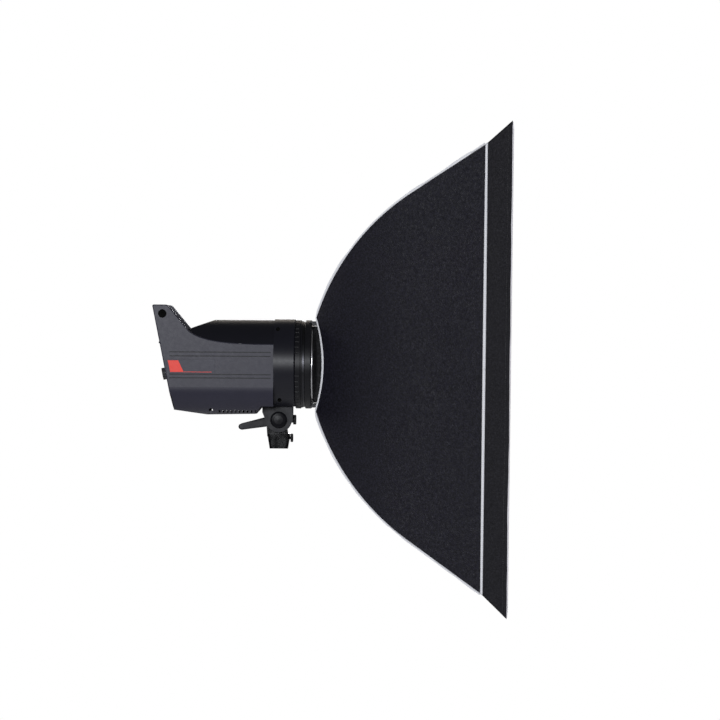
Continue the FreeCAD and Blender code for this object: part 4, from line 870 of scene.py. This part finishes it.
def make_label_prints():
    """A plain red block and a thin red rule on each side's label, with no lettering."""
    low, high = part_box("side_labels")
    top = (high.z - low.z) / MM - 3
    back, bottom = low.x + 2 * MM, low.z + 1.4 * MM
    for side, sign in SIDES.items():
        y = high.y if sign > 0 else low.y
        block = [(5, 0.6), (32, 0.6), (21, top), (0, top)]
        rule = [(32.6, 0.6), (88, 0.6), (88, 1.5), (32.2, 1.5)]
        for name, shape in (("block", block), ("rule", rule)):
            corners = [(back + x * MM, y - sign * 0.02 * MM, bottom + z * MM) for x, z in shape]
            head_plate(f"label_{name}_{side}", corners, sign, 0.12 * MM, "label_red")


def make_groove_painted_shades():
    """A dark strip of painted shade on the floor of each groove in the side shells, standing in for the
    shadow that falls in the grooves.
    """
    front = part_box("front_collar")[0].x
    for side, sign in SIDES.items():
        low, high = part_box(f"side_shell_{side}")
        wall = high.y if sign > 0 else low.y
        y = wall - sign * (GROOVE_DEPTH + 0.05 * MM)
        for i, rise in enumerate(GROOVE_RISES):
            bottom = AXIS_Z + rise
            ends = [front + reach for reach in GROOVE_ENDS]
            corners = [(ends[0], y, bottom), (ends[1], y, bottom)]
            corners += [(ends[1], y, bottom + GROOVE_HEIGHT), (ends[0], y, bottom + GROOVE_HEIGHT)]
            name = f"groove_painted_shade_{i + 1}_{side}"
            # Painted shade: this dark strip stands in for the shadow in the groove, not for a real inlay.
            head_plate(name, corners, sign, 0.35 * MM, "dark_plastic")


# Stage, light and camera.


def make_floor():
    """A plain pale floor that fades out before its edge."""
    radius = 3
    place_at = (0.1, 0, -1.15)
    bpy.ops.mesh.primitive_circle_add(vertices=96, radius=radius, fill_type="NGON", location=place_at)
    floor = bpy.context.object
    floor.name = "floor"
    s = Shader("floor_paint", (0.9, 0.9, 0.9), 0.6)
    gradient = s.node("ShaderNodeTexGradient", gradient_type="SPHERICAL")
    s.link(s.where(scale=(1 / radius,) * 3), gradient.inputs["Vector"])
    s.link(s.ramp(gradient.outputs["Fac"], 0.02, 0.7, (0.0, 1.0)), s.shader.inputs["Alpha"])
    floor.data.materials.append(s.material)


def make_world():
    """A world that is white behind the object and lights it only a little."""
    world = bpy.data.worlds.new("studio")
    bpy.context.scene.world = world
    world.use_nodes = True
    tree = world.node_tree
    sky = tree.nodes["Background"]
    path = tree.nodes.new("ShaderNodeLightPath")
    level = tree.nodes.new("ShaderNodeMapRange")
    level.inputs["To Min"].default_value = 0.09
    level.inputs["To Max"].default_value = 1.0
    tree.links.new(path.outputs["Is Camera Ray"], level.inputs["Value"])
    tree.links.new(level.outputs["Result"], sky.inputs["Strength"])
    sky.inputs["Color"].default_value = (1, 1, 1, 1)


def add_light(name, place_at, target, size, power, colour=(1, 1, 1)):
    """A soft rectangular light, aimed at a target."""
    data = bpy.data.lights.new(name, "AREA")
    data.shape = "RECTANGLE"
    data.size, data.size_y = size
    data.energy = power
    data.color = colour
    lamp = bpy.data.objects.new(name, data)
    lamp.location = place_at
    lamp.rotation_euler = (Vector(target) - Vector(place_at)).to_track_quat("-Z", "Y").to_euler()
    bpy.context.scene.collection.objects.link(lamp)


def make_lights():
    """The key beside the camera, then fills from the other sides and a warm edge above and below."""
    add_light("key", (-0.7, -4.3, 0.75), (0.1, 0, 0.2), (1.2, 0.9), 105, (0.94, 0.96, 1.0))
    add_light("side", (2.6, -3.6, 0.6), (0.3, 0, 0.2), (0.8, 2.2), 22, (0.95, 0.96, 1.0))
    add_light("rim_top", (-0.3, 2.4, 1.5), (0.0, 0, 0.2), (2.4, 0.5), 7, (1.0, 0.90, 0.80))
    add_light("warm_floor", (-0.3, 0.5, -1.7), (0.0, 0, 0.1), (2.4, 1.6), 9, (1.0, 0.82, 0.64))
    add_light("front", (4.0, 0.8, 0.8), (0.3, 0, 0.2), (1.6, 2.2), 75)
    add_light("far_side", (-0.9, 4.3, 0.5), (0.1, 0, 0.2), (1.6, 0.9), 55, (0.96, 0.97, 1.0))
    add_light("behind", (-4.2, 0.6, 0.7), (0.0, 0, 0.2), (1.4, 1.4), 40, (0.96, 0.97, 1.0))


def make_camera():
    """A long lens level with the head, turned a little towards the box's front."""
    yaw, roll = math.radians(1.6), math.radians(0.4)
    distance = 12.0
    target = Vector((161.5 * MM, 0, 178.5 * MM))
    data = bpy.data.cameras.new("camera")
    data.sensor_width = 36
    data.lens = 299.3
    camera = bpy.data.objects.new("camera", data)
    camera.location = target + Vector((math.sin(yaw), -math.cos(yaw), 0)) * distance
    aim = (target - camera.location).to_track_quat("-Z", "Y")
    camera.rotation_euler = (aim @ Quaternion((0, 0, 1), roll)).to_euler()
    bpy.context.scene.collection.objects.link(camera)
    bpy.context.scene.camera = camera
    bpy.context.scene.view_settings.view_transform = "Standard"


dress_nodes()
make_soft_box()
make_label_prints()
make_groove_painted_shades()
make_floor()
make_world()
make_lights()
make_camera()
